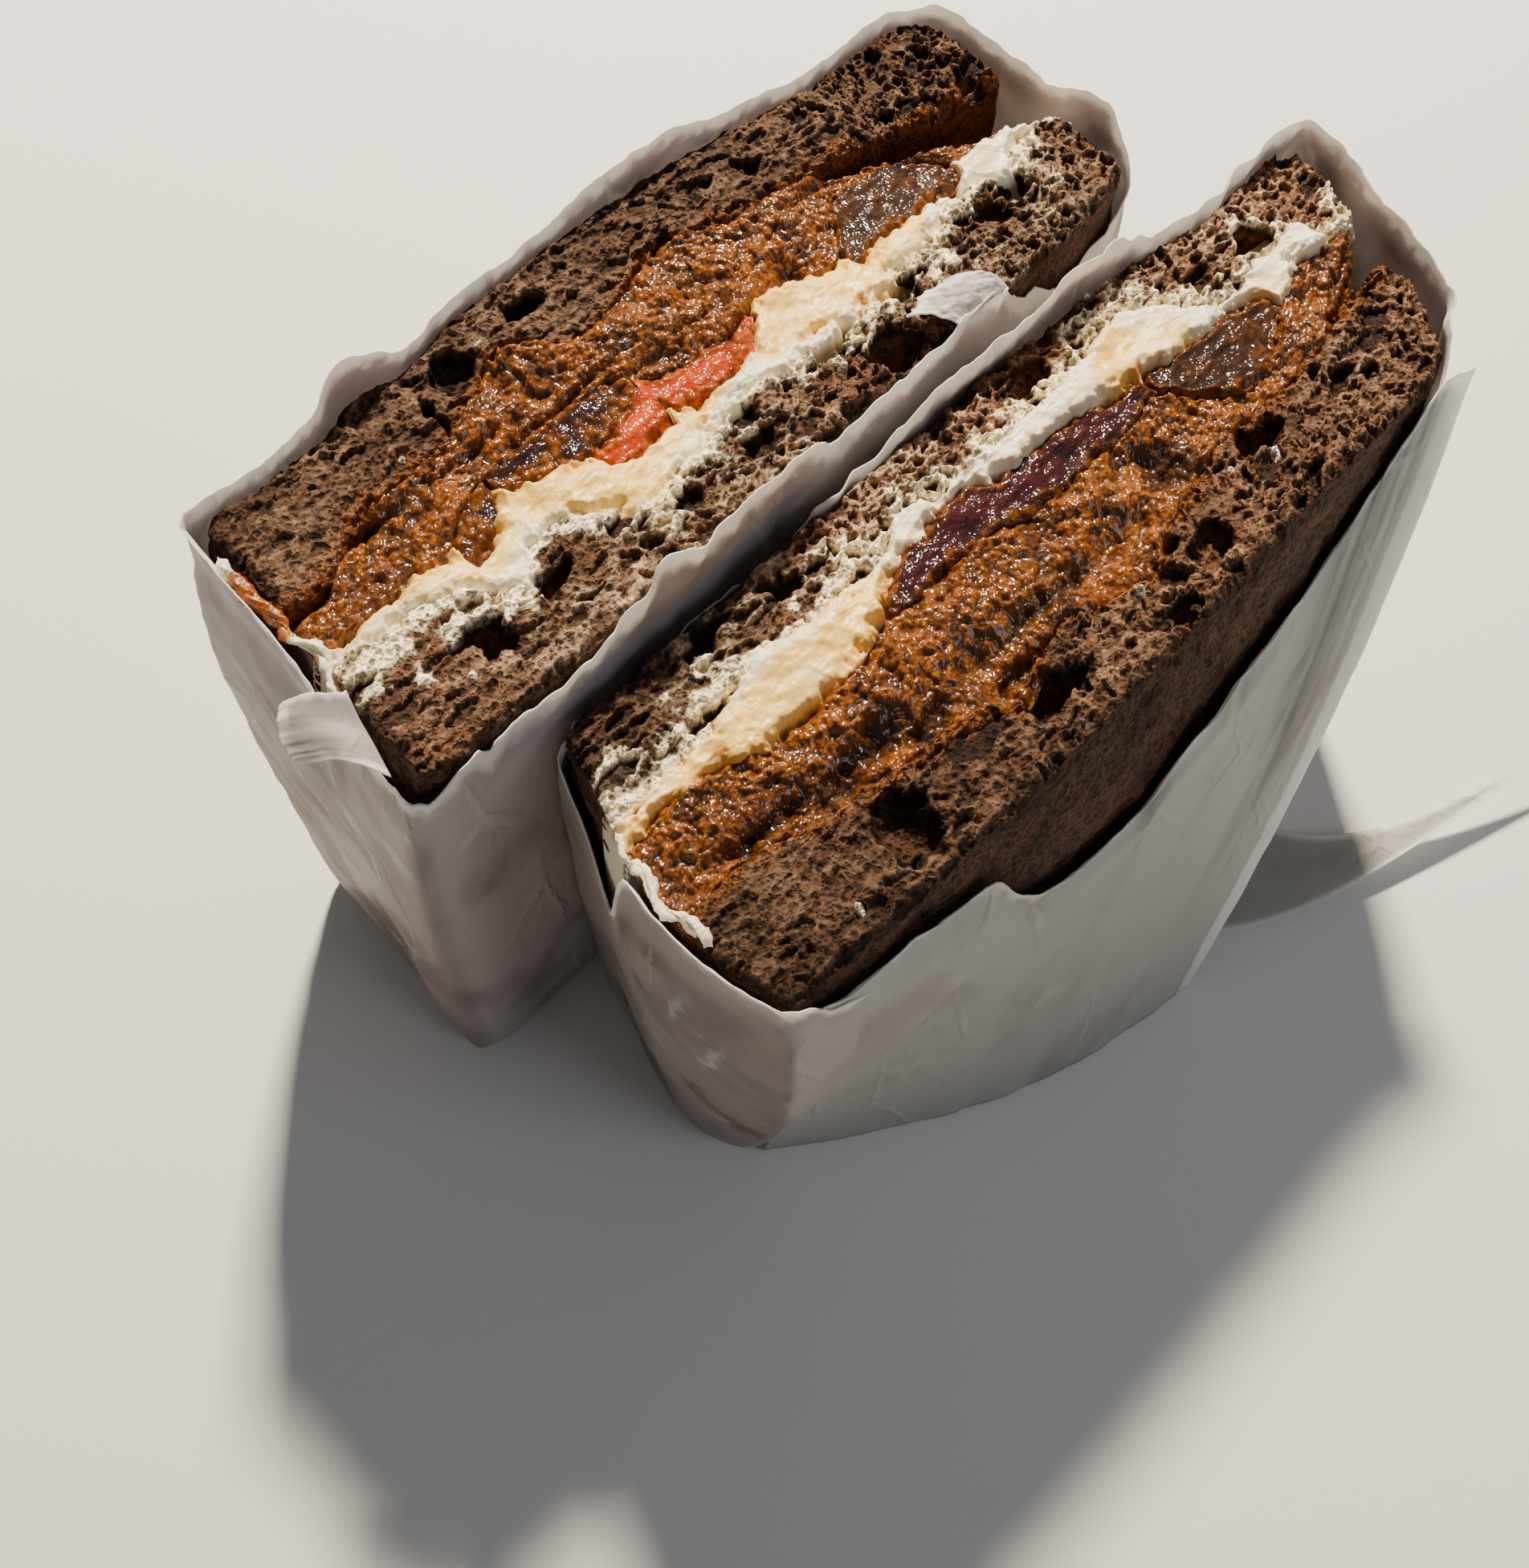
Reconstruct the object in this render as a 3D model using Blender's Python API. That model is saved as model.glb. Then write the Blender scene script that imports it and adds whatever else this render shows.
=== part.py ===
"""Rye sandwich, cut in half through its paper wrap, the two halves opened like a book.

Both cut faces look up (+Z). X runs along the halves, +Y is the left half's side, and the wrap's
flat underside lies on z = 0, with the origin on the paper hinge between the halves.
Sizes are in millimetres; they become metres where a mesh is made.

Each half is first laid out straight, in its own frame: x along it, v across it towards its
outer slice, z up from the cut face. settle() then swells, leans and turns it into place.
"""
import math

import bmesh
import bpy
import numpy as np

MM = 0.001

# Driving sizes of the sandwich
CUT_HEIGHT = {"left": 84.0, "right": 81.0}
HALF_SHIFT = {"left": (-6.5, 24.4), "right": (6.5, -24.4)}
YAW = {"left": 1.0, "right": -1.0}
PITCH = {"left": 1.2, "right": -1.2}
OUTER = {"left": 1, "right": -1}
CRUST_LIFT = 1.6
GAP = 0.3
COLUMN_STEP = 4.2

# How the squeezed halves swell below the cut, and how far their feet lean to -Y
SWELL_DEPTH = 16.0
NEAR_SWELL = {"left": 6.0, "right": 2.5}
FAR_SWELL = 1.5
SIDE_BULGE = {"left": (1.5, 1.5), "right": (3.0, 6.0)}
INNER_BULGE = 0.4
FOOT_TAPER = {"left": 4.0, "right": 8.0}
FOOT_LEAN = -5.0
NOMINAL_DEPTH = 80.0
HALF_LENGTH = 62.0
HALF_THICKNESS = 21.0
CRUST_RADIUS = 14.0
CRUST_INSET = (0.09, 0.13)

# Paper
PAPER = 0.6
PAPER_MARGIN = 0.55
CRINKLE = 1.0
FOOT_FOLD = 1.8

# Depths below the cut face at which every food solid has a ring of points
RING_DEPTHS = (8.0, 24.0, 66.0)


def curve(*points):
    """A height over x through a few points, cubic between them and never past them."""
    px, py = np.array(points, float).T
    run = np.diff(px)
    rise = np.diff(py) / run
    slope = np.zeros_like(py)
    slope[0], slope[-1] = rise[0], rise[-1]
    same = rise[:-1] * rise[1:] > 0
    total = np.where(same, rise[:-1] + rise[1:], 1.0)
    slope[1:-1] = np.where(same, 2 * rise[:-1] * rise[1:] / total, 0.0)

    def at(x):
        x = np.clip(x, px[0], px[-1])
        k = np.clip(np.searchsorted(px, x) - 1, 0, len(run) - 1)
        t = (x - px[k]) / run[k]
        start = (1 + 2 * t) * (1 - t) ** 2 * py[k] + t * (1 - t) ** 2 * run[k] * slope[k]
        end = t * t * (3 - 2 * t) * py[k + 1] + t * t * (t - 1) * run[k] * slope[k + 1]
        return start + end

    return at


def rough(x, y, size, seed):
    """Smooth random heights from -1 to 1 with bumps of the given size."""
    table = np.random.default_rng(seed).uniform(-1, 1, (64, 64))
    u, v = np.asarray(x) / size, np.asarray(y) / size
    i, j = np.floor(u).astype(int), np.floor(v).astype(int)
    a, b = u - i, v - j
    a, b = a * a * (3 - 2 * a), b * b * (3 - 2 * b)
    c00, c10 = table[i % 64, j % 64], table[(i + 1) % 64, j % 64]
    c01, c11 = table[i % 64, (j + 1) % 64], table[(i + 1) % 64, (j + 1) % 64]
    return (c00 * (1 - a) + c10 * a) * (1 - b) + (c01 * (1 - a) + c11 * a) * b


def turn(half, x, y, z):
    """Turn a half by its yaw and pitch and stand it at its place and height."""
    yaw, pitch = math.radians(YAW[half]), math.radians(PITCH[half])
    x, y = x * math.cos(yaw) - y * math.sin(yaw), x * math.sin(yaw) + y * math.cos(yaw)
    x, z = x * math.cos(pitch) + z * math.sin(pitch), z * math.cos(pitch) - x * math.sin(pitch)
    shift = HALF_SHIFT[half]
    return np.stack([x + shift[0], y + shift[1], z + CUT_HEIGHT[half]], axis=-1)


def settle(half, x, v, z):
    """Move straight layout points to where the squeezed, leaning half has them."""
    x, v, z = np.broadcast_arrays(np.asarray(x, float), v, z)
    depth = np.clip(-z, 0, NOMINAL_DEPTH)
    spread = 1 - np.exp(-depth / SWELL_DEPTH)
    belly = np.sin(np.pi * depth / NOMINAL_DEPTH) ** 0.8
    foot = (depth / NOMINAL_DEPTH) ** 2
    end_bulge, middle_bulge = SIDE_BULGE[half]
    bulge = end_bulge + middle_bulge * np.cos(np.clip(x, -65, 65) * np.pi / 130) ** 2
    x_new = x * (1 + spread * np.where(x < 0, NEAR_SWELL[half], FAR_SWELL) / HALF_LENGTH)
    outer = (belly * bulge - foot * FOOT_TAPER[half]) / HALF_THICKNESS
    inner = belly * INNER_BULGE / HALF_THICKNESS
    y_new = OUTER[half] * v * (1 + np.where(v > 0, outer, inner))
    y_new = y_new + FOOT_LEAN * depth / NOMINAL_DEPTH
    return turn(half, x_new, y_new, z)


# The cut face of each half: the seams between its layers, as the distance v over x.
# From the outer slice inwards: bread, spread, roasted pieces, cream, bread.
BREAD_OUTSIDE = {
    "left": curve((-62.5, 19.5), (-59, 22), (-43, 21.8), (-37, 23.8), (-30, 22.8), (-20, 24.3),
                  (5, 25), (20, 24.6), (35, 22.7), (45, 21.2), (58, 21.3), (62.5, 20), (65, 17),
                  (66.3, 12)),
    "right": curve((-67, 18.5), (-64.5, 20.2), (-38, 21), (20, 19.6), (40, 18.9), (54, 18.9),
                   (58, 17.8), (61, 15), (63.5, 11), (65.5, 7)),
}
BREAD_TO_SPREAD = {
    "left": curve((-62.5, 6.5), (-56, 6.6), (-47, 10.2), (-40, 11.4), (-34, 11), (-25, 14.8),
                  (-18, 17.2), (-14, 13.6), (-8, 11.8), (9, 15.3), (18, 12), (38, 10.3), (44, 8.6),
                  (66.3, 5.2)),
    "right": curve((-67.5, 6), (-58, 4.8), (-43, 8), (-24, 10.3), (-20, 12.8), (-8, 9.2),
                   (1, 11.8), (7, 12.4), (11, 9.8), (28, 6.2), (46, 6.1), (56, 3.8), (65.5, 3.2)),
}
GAPE = {
    "left": curve((-62.5, 2.2), (-56, 2), (-53, GAP), (30, GAP), (38, 4), (50, 7.1), (58, 8.9)),
    "right": curve((50, GAP), (55.5, 1.2), (60, 2.4), (66, 6)),
}
SPREAD_INSIDE = {
    "left": curve((-62.5, -0.5), (-44, -1.3), (-37.5, 3.2), (-31, 4.4), (-20, 4.7), (-13, 4.4),
                  (-8, 1.5), (4, -1), (10, 0.8), (19, -1.8), (23, -2.4), (31, 4.6), (36, 5.2),
                  (41, 4.4), (49, -1.9), (58, -3)),
    "right": curve((-67, -4.5), (-62, -6), (-48, -4.8), (-43, -2.8), (-36, -2.6), (-24, -5.4),
                   (-4, -5), (3, -3.3), (20, -3.5), (25, -5), (32, 0.8), (37, 2.9), (43, 1.8),
                   (51, -2.8), (55, -4.8), (66, -4)),
}
CREAM_TO_BREAD = {
    "left": curve((-62.5, -3.2), (-57, -3.6), (-48, -4.8), (-40, -10.2), (-35, -7.6), (-30, -7.2),
                  (-20, -13), (-12, -11.4), (-2, -9.9), (20, -10.6), (36, -8.6), (41, -6.6),
                  (47, -6.6), (51.5, -9.4), (55, -6.4), (60.5, -5), (66, -7)),
    "right": curve((-66, -9.4), (-56, -8.8), (-38, -12.6), (-30, -11.2), (-20, -12.4), (-9, -15.4),
                   (-4, -13.7), (8, -13.6), (19, -13.8), (31, -17), (36, -15), (39, -10.5),
                   (49, -8.3), (54, -9.8), (62, -8.8), (65, -5.4), (72, -4.6)),
}
BREAD_INSIDE = {
    "left": curve((-64.5, -20.3), (-60, -21.8), (-30, -21.8), (30, -21.2), (45, -21), (60, -20),
                  (65, -18.5), (66, -15.5)),
    "right": curve((-62, -20.6), (-58, -21.6), (20, -21.8), (45, -20.2), (55, -18.6), (60, -19),
                   (69, -19.5), (72, -18.4)),
}
# The ends of the cut face, as x over v
NEAR_END = {
    "left": curve((-20, -64.5), (-5, -63), (6, -62), (22, -60.8)),
    "right": curve((-21.5, -61.5), (-14, -63.5), (-5, -66.5), (3, -68), (12, -67.5), (20, -65.5)),
}
FAR_END = {
    "left": curve((-18, 65.3), (-7, 65.8), (5.5, 66), (12, 66.3)),
    "right": curve((-19, 71.6), (-16, 72.2), (-4.5, 68.6), (3, 65.7), (7, 65.4)),
}
SPREAD_FAR_END = {"left": 57.8, "right": 65.6}
CREAM_FAR_END = {"left": 60.2, "right": 62.2}

# Roasted pieces at the seam: from x, to x, thickness, and the band that they lie in
PIECES = {
    "left": {
        "aubergine_end_left": (-42.5, -33.0, 5.4, "slices"),
        "aubergine_strip_left": (-33.0, -10.0, 6.6, "slices"),
        "roast_slice_left": (24.5, 47.5, 8.8, "slices"),
        "red_pepper_left": (-21.5, 9.0, 6.0, "pepper"),
    },
    "right": {
        "aubergine_strip_right": (-23.0, 26.5, 6.2, "slices"),
        "roast_slice_right": (26.5, 49.5, 8.4, "slices"),
        "aubergine_skin_right": (52.0, 65.6, 1.8, "skin"),
    },
}
PIECE_TIP = 0.8
TIP_INSET = 0.4
STATION_ENDS = {"left": (-62.0, 66.0), "right": (-66.0, 70.0)}

# Large holes in the crumb: x, v, half length, half width, depth
HOLES = {
    "left": ((-24, 18.5, 3.5, 2.6, 4), (-11.5, 19.5, 3, 1.6, 4), (-47, -12.6, 2.4, 2.2, 5),
             (-36, -12.6, 3, 1.8, 4), (26, -11.5, 3.6, 1.6, 6), (51, -10.8, 2.6, 1.8, 5),
             (18.5, -17.6, 4.2, 3, 9), (62, 7, 3, 2, 4), (-5, -15.5, 3, 2, 3),
             (-17, -15.5, 3, 2, 3), (9, 14, 2.4, 1.4, 3)),
    "right": ((-41, 14.5, 4, 4.4, 10), (-15, 14, 4.6, 2.2, 9), (14, 14, 3.4, 2, 6),
              (4, 17.5, 2.6, 1.6, 4), (31, 8.6, 4.4, 1.8, 5), (55, -12.5, 3.2, 2.2, 7),
              (16, -18, 4, 2.2, 6), (-29, -17.5, 3, 2, 4), (33, 16.4, 2.4, 1.4, 3),
              (-40, -19, 4, 1.6, 3)),
}


def stations(half):
    """The x of every column: the ends of the pieces, with even columns between them."""
    stops = set(STATION_ENDS[half])
    for start, end, _, _ in PIECES[half].values():
        stops.update((start, end))
    stops = sorted(stops)
    columns = [stops[0]]
    for a, b in zip(stops, stops[1:]):
        count = max(1, math.ceil((b - a) / COLUMN_STEP))
        columns.extend(a + (b - a) * k / count for k in range(1, count + 1))
    return np.array(columns)


def piece_thickness(half, band, x):
    """Thickness of the pieces of one band at x, and their two seams; zero where there is none."""
    total = np.zeros_like(x)
    for start, end, thickness, own_band in PIECES[half].values():
        if own_band != band:
            continue
        u = (x - (start + end) / 2) / ((end - start) / 2)
        inside = np.abs(u) <= 1.0001
        lens = PIECE_TIP + (thickness - PIECE_TIP) * np.clip(1 - u * u, 0, 1) ** 0.6
        total = np.maximum(total, np.where(inside, lens + GAP, 0))
    return total


def seams(half, x):
    """Every seam of the cut face at x, from the outer slice inwards."""
    seam = {"bread_out": BREAD_OUTSIDE[half](x), "bread_in": BREAD_TO_SPREAD[half](x)}
    seam["skin"] = seam["bread_in"] - GAPE[half](x)
    seam["spread_out"] = seam["skin"] - piece_thickness(half, "skin", x)
    seam["spread_in"] = SPREAD_INSIDE[half](x)
    seam["slices"] = seam["spread_in"] - GAP
    seam["pepper"] = seam["slices"] - piece_thickness(half, "slices", x)
    seam["cream_out"] = seam["pepper"] - piece_thickness(half, "pepper", x)
    seam["cream_in"] = CREAM_TO_BREAD[half](x) + GAP
    seam["inner_out"] = CREAM_TO_BREAD[half](x)
    seam["inner_in"] = BREAD_INSIDE[half](x)
    return seam


def crumb_height(half, x, v):
    """Cut crumb: shallow crags, and the large holes as pits."""
    z = -0.4 + 0.5 * rough(x, v, 5.0, 3) + 0.4 * rough(x, v, 2.5, 4)
    for hole_x, hole_v, length, width, depth in HOLES[half]:
        reach = ((x - hole_x) / length) ** 2 + ((v - hole_v) / width) ** 2
        z = z - depth * np.exp(-reach ** 2)
    return np.maximum(z, -7.2)


def spread_height(half, x, v):
    """Chunky spread: lumps that stand and sink about a millimetre and a half."""
    return -1.4 + 1.3 * rough(x, v, 7.0, 11) + 0.5 * rough(x, v, 3.0, 12)


def cream_height(half, x, v):
    """Soft cream, a little proud of the crumb."""
    return 0.1 + 0.6 * rough(x, v, 6.0, 21)


def piece_height(half, x, v):
    """Cut faces of the roasted pieces, nearly flat and a little sunk."""
    return -0.8 + 0.3 * rough(x, v, 8.0, 31)


def crust(x, v, depth, height):
    """Pull the ends and sides in near the foot, where the loaf's crust is rounded."""
    near_foot = np.clip((depth - (height - CRUST_RADIUS)) / CRUST_RADIUS, 0, 1) ** 2
    return x * (1 - CRUST_INSET[0] * near_foot), v * (1 - CRUST_INSET[1] * near_foot)


def closed_mesh(name, points, faces):
    """A mesh in metres from points in millimetres, triangulated, with its faces outwards."""
    mesh = bpy.data.meshes.new(name)
    mesh.from_pydata((np.asarray(points) * MM).tolist(), [], faces)
    bm = bmesh.new()
    bm.from_mesh(mesh)
    bmesh.ops.recalc_face_normals(bm, faces=bm.faces)
    bmesh.ops.triangulate(bm, faces=bm.faces, quad_method="SHORT_EDGE")
    bm.to_mesh(mesh)
    bm.free()
    return mesh


def add_object(name, mesh, material):
    """A named object at the origin, with its material."""
    obj = bpy.data.objects.new(name, mesh)
    mesh.materials.append(material)
    bpy.context.scene.collection.objects.link(obj)
    return obj


def finish(name, colour, roughness):
    """A plain food or paper material."""
    material = bpy.data.materials.new(name)
    material.use_nodes = True
    shader = material.node_tree.nodes["Principled BSDF"]
    shader.inputs["Base Color"].default_value = (*colour, 1.0)
    shader.inputs["Roughness"].default_value = roughness
    shader.inputs["Metallic"].default_value = 0.0
    return material


def layer_grid(half, low, high, near, far, rows, ends_pinch):
    """Points of a layer's cut face: columns at the stations, rows from low to high seam.

    near and far are functions of v or plain numbers; the end columns lie on them.
    """
    def end_x(end, v):
        return end(v) if callable(end) else np.full_like(v, end)

    share = np.linspace(0, 1, rows + 1)
    middle = seams(half, np.array([0.0]))
    v_middle = (middle[low] + middle[high]) / 2
    near_x = float(end_x(near, v_middle)[0])
    far_x = float(end_x(far, v_middle)[0])
    inside = stations(half)
    inside = inside[(inside > near_x + 2.6) & (inside < far_x - 2.2)]
    columns_x, columns_v = [], []
    for x, edge in [(near_x, near)] + [(s, None) for s in inside] + [(far_x, far)]:
        at = seams(half, np.array([x]))
        start, stop = float(at[low][0]), float(at[high][0])
        if edge is not None:
            start, stop = start + ends_pinch[0], stop - ends_pinch[1]
        v = start + (stop - start) * share
        columns_v.append(v)
        columns_x.append(end_x(edge, v) if edge is not None else np.full_like(v, x))
    return np.array(columns_x), np.array(columns_v)


def food_solid(name, half, grid, height, material):
    """A closed solid under a cut face: the face's relief on top, rings down to the foot.

    grid is the pair x, v of arrays [column, row]; height gives the relief over them.
    """
    x, v = grid
    columns, rows = x.shape[0] - 1, x.shape[1] - 1
    top = settle(half, x, v, height(half, x, v)).reshape(-1, 3)
    index = np.arange(top.shape[0]).reshape(x.shape)
    faces = [(index[c, r], index[c + 1, r], index[c + 1, r + 1], index[c, r + 1])
             for c in range(columns) for r in range(rows)]
    rim = [index[c, 0] for c in range(columns + 1)]
    rim += [index[columns, r] for r in range(1, rows + 1)]
    rim += [index[c, rows] for c in range(columns - 1, -1, -1)]
    rim += [index[0, r] for r in range(rows - 1, 0, -1)]
    rim_x, rim_v = x.reshape(-1)[rim], v.reshape(-1)[rim]
    tall = CUT_HEIGHT[half] - CRUST_LIFT
    points, above = [top], rim
    for depth in RING_DEPTHS + (tall,):
        ring = settle(half, *crust(rim_x, rim_v, depth, tall), -depth)
        if depth == tall:
            ring[:, 2] = CRUST_LIFT
        below = list(range(sum(len(p) for p in points), sum(len(p) for p in points) + len(rim)))
        points.append(ring)
        for k in range(len(rim)):
            a, b = k, (k + 1) % len(rim)
            if rim_x[a] > rim_x[b]:
                a, b = b, a
            faces += [(above[a], above[b], below[b]), (above[a], below[b], below[a])]
        above = below
    faces.append(tuple(above))
    return add_object(name, closed_mesh(name, np.vstack(points), faces), material)


def piece_grid(half, start, end, thickness, band):
    """Points of a roasted piece's cut face, between its band's seam and the next one."""
    columns = stations(half)
    columns = columns[(columns > start + 0.01) & (columns < end - 0.01)]
    columns = np.concatenate([[start + TIP_INSET], columns, [end - TIP_INSET]])
    snapped = np.concatenate([[start], columns[1:-1], [end]])
    outer = seams(half, snapped)[band]
    u = (snapped - (start + end) / 2) / ((end - start) / 2)
    lens = PIECE_TIP + (thickness - PIECE_TIP) * np.clip(1 - u * u, 0, 1) ** 0.6
    rows = np.linspace(0, 1, 3)
    v = outer[:, None] - lens[:, None] * (1 - rows)[None, :]
    return np.repeat(columns[:, None], 3, axis=1), v


def food(half, bread, spread, cream, roasted):
    """All the food of one half."""
    near, far = NEAR_END[half], FAR_END[half]
    grid = layer_grid(half, "bread_in", "bread_out", near, far, 5, (0.3, 0))
    food_solid(f"bread_outer_{half}", half, grid, crumb_height, bread)
    grid = layer_grid(half, "inner_in", "inner_out", near, far, 5, (0, 0.3))
    food_solid(f"bread_inner_{half}", half, grid, crumb_height, bread)
    grid = layer_grid(half, "spread_in", "spread_out", near, SPREAD_FAR_END[half], 4, (0.3, 0.3))
    food_solid(f"spread_{half}", half, grid, spread_height, spread)
    grid = layer_grid(half, "cream_in", "cream_out", near, CREAM_FAR_END[half], 3, (0.3, 0.3))
    food_solid(f"cream_{half}", half, grid, cream_height, cream)
    for name, (start, end, thickness, band) in PIECES[half].items():
        grid = piece_grid(half, start, end, thickness, band)
        kind = name.rsplit("_", 1)[0]
        food_solid(name, half, grid, piece_height, roasted[kind])


# The wrap's torn rims, as z over x along the sides and over v across the ends
RIM_OUTSIDE = {
    "left": curve((-64, 2), (-50, 1), (-42, 3), (-36, 5.5), (-32, 4.6), (-27, 1.4), (-8, 1.4),
                  (5, 2.6), (20, 4.2), (23, 2.4), (45, 0.8), (66, 1.8)),
    "right": curve((-67, 1), (-60, -6), (-52, -9), (-38, -12), (-30, -22), (-15, -25), (0, -20),
                   (20, -12), (30, -9), (50, -1), (60, 2)),
}
RIM_INSIDE = {
    "left": curve((-66, -4), (-60, -1.5), (-45, -1.5), (-36, 2), (-28, 5), (-22, 2.6), (-8, 3.8),
                  (-2, 3), (2, -1), (12, 0.4), (22, 1), (26, 2.6), (34, 2.6), (38, -2),
                  (54, -10), (62, -7)),
    "right": curve((-62, -4), (-30, -3), (-8, 0), (5, 3.2), (18, 2.6), (30, 5.2), (47, 2),
                   (54, 0.2), (60, 1.5), (72, 3)),
}
RIM_NEAR = {
    "left": curve((-22, -5), (-15, -5), (-4, -0.5), (6, 1), (22, 2)),
    "right": curve((-21, -4), (-10, -14), (-6, -17), (-3, 0), (0, 1.5), (20, 1)),
}
RIM_FAR = {
    "left": curve((-20, -6), (-16, 1), (-12, 4.6), (-8, 3.6), (-2, 1), (18, 2)),
    "right": curve((-17, 4), (-4, 3), (5, 3), (15, 2.5)),
}
WRAP_FAR = {
    "left": curve((-18, 66.8), (-7, 67.2), (12, 67.4), (18, 66.2)),
    "right": curve((-18.5, 73.2), (-14, 73.2), (-4, 70.2), (7, 67), (14, 64)),
}
RIM_BEND = 0.9
FOOT_CURL = 5.0
WALL_RINGS = ("rim", "bend", *RING_DEPTHS, "curl", "foot")
SIDE_POINTS = 17
END_POINTS = 4


def wrap_outline(half):
    """The wrap's loop round the food, from the near outer corner: x, v, outward x, outward v,
    rim height, and how much the wall may crinkle."""
    even = np.linspace(-1, 1, SIDE_POINTS + 1)
    shape = 0.5 * even + 0.5 * np.sin(even * np.pi / 2)
    near_out, near_in = NEAR_END[half](19.0), NEAR_END[half](-19.5)
    far_out, far_in = WRAP_FAR[half](17.0) - 0.5, WRAP_FAR[half](-18.0) - 0.5
    out_x = near_out + (far_out - near_out) * (shape + 1) / 2
    in_x = near_in + (far_in - near_in) * (shape + 1) / 2
    out_v = BREAD_OUTSIDE[half](np.clip(out_x, near_out + 1.2, far_out - 1.6))
    in_v = BREAD_INSIDE[half](np.clip(in_x, near_in + 1.2, far_in - 1.6))
    far_v = np.linspace(out_v[-1], in_v[-1], END_POINTS + 1)[1:-1]
    near_v = np.linspace(in_v[0], out_v[0], END_POINTS + 1)[1:-1]
    x = np.concatenate([out_x, WRAP_FAR[half](far_v), in_x[::-1], NEAR_END[half](near_v)])
    v = np.concatenate([out_v, far_v, in_v[::-1], near_v])
    rim = np.concatenate([RIM_OUTSIDE[half](out_x), RIM_FAR[half](far_v),
                          RIM_INSIDE[half](in_x)[::-1], RIM_NEAR[half](near_v)])
    crinkle = np.full_like(x, CRINKLE)
    inner = slice(len(out_x) + len(far_v), len(out_x) + len(far_v) + len(in_x))
    crinkle[inner] = 0.15
    if half == "right":
        crinkle[:len(out_x)] = 0
    along = np.stack([np.roll(x, -1) - np.roll(x, 1), np.roll(v, -1) - np.roll(v, 1)])
    along = along / np.hypot(*along)
    along = along + 0.5 * (np.roll(along, 1, axis=1) + np.roll(along, -1, axis=1))
    along = along / np.hypot(*along)
    return x, v, -along[1], along[0], rim, crinkle


def wrap_ring(half, outline, step, margin):
    """One ring of the wrap's wall, a margin away from the food: a step of WALL_RINGS."""
    x, v, nx, nv, rim, crinkle = outline
    count = WALL_RINGS.index(step)
    bumps = 0.5 + 0.5 * rough(np.arange(len(x)) * 1.7, np.full_like(x, count * 1.5), 1.3, 41)
    out = margin + crinkle * bumps
    if step == "rim":
        z = rim
    elif step == "bend":
        z = rim - RIM_BEND
    elif step == "curl":
        z = np.full_like(x, FOOT_CURL - CUT_HEIGHT[half])
    elif step == "foot":
        z, out = np.full_like(x, -CUT_HEIGHT[half]), out - FOOT_FOLD
    else:
        z = np.minimum(-step, rim - 2 * RIM_BEND * (count - 0.5))
    return settle(half, x + nx * out, v + nv * out, z)


def bag(half):
    """The paper round one half: a thin open bag with a torn rim and a flat foot."""
    outline = wrap_outline(half)
    count = len(outline[0])
    points, rings = [], []
    for surface, margin in (("inner", PAPER_MARGIN), ("outer", PAPER_MARGIN + PAPER)):
        steps = WALL_RINGS if surface == "outer" else WALL_RINGS[::-1]
        for step in steps:
            ring = wrap_ring(half, outline, step, margin)
            if step == "foot":
                ring[:, 2] = PAPER if surface == "inner" else 0.0
            rings.append(np.arange(count) + count * len(rings))
            points.append(ring)
    faces = [tuple(rings[0][::-1])]
    for a, b in zip(rings, rings[1:]):
        faces += [(a[k], a[(k + 1) % count], b[(k + 1) % count], b[k]) for k in range(count)]
    faces.append(tuple(rings[-1]))
    return np.vstack(points), faces


def sheet(grid, thickness):
    """A closed thin solid on a grid of points [i, j], its thickness laid below the grid."""
    along = np.gradient(grid, axis=0)
    across = np.gradient(grid, axis=1)
    normal = np.cross(along, across)
    normal = normal / np.linalg.norm(normal, axis=-1, keepdims=True)
    lower = grid - normal * thickness
    lower[..., 2] = np.maximum(lower[..., 2], 0)
    index = np.arange(grid.shape[0] * grid.shape[1]).reshape(grid.shape[:2])
    below = index + index.size
    rows, columns = index.shape[0] - 1, index.shape[1] - 1
    faces = []
    for i in range(rows):
        for j in range(columns):
            faces.append((index[i, j], index[i + 1, j], index[i + 1, j + 1], index[i, j + 1]))
            faces.append((below[i, j], below[i, j + 1], below[i + 1, j + 1], below[i + 1, j]))
    edge = [(i, 0) for i in range(rows + 1)] + [(rows, j) for j in range(1, columns + 1)]
    edge += [(i, columns) for i in range(rows - 1, -1, -1)]
    edge += [(0, j) for j in range(columns - 1, 0, -1)]
    for a, b in zip(edge, edge[1:] + edge[:1]):
        faces.append((index[b], index[a], below[a], below[b]))
    return np.vstack([grid.reshape(-1, 3), lower.reshape(-1, 3)]), faces


def hinge():
    """The uncut strip of paper that joins the feet of the two bags."""
    x, y = np.meshgrid(np.linspace(-54, 56, 6), np.array([3.0, -3.0, -12.0]))
    return sheet(np.stack([x, y, np.full_like(x, PAPER)], axis=-1), PAPER)


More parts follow.
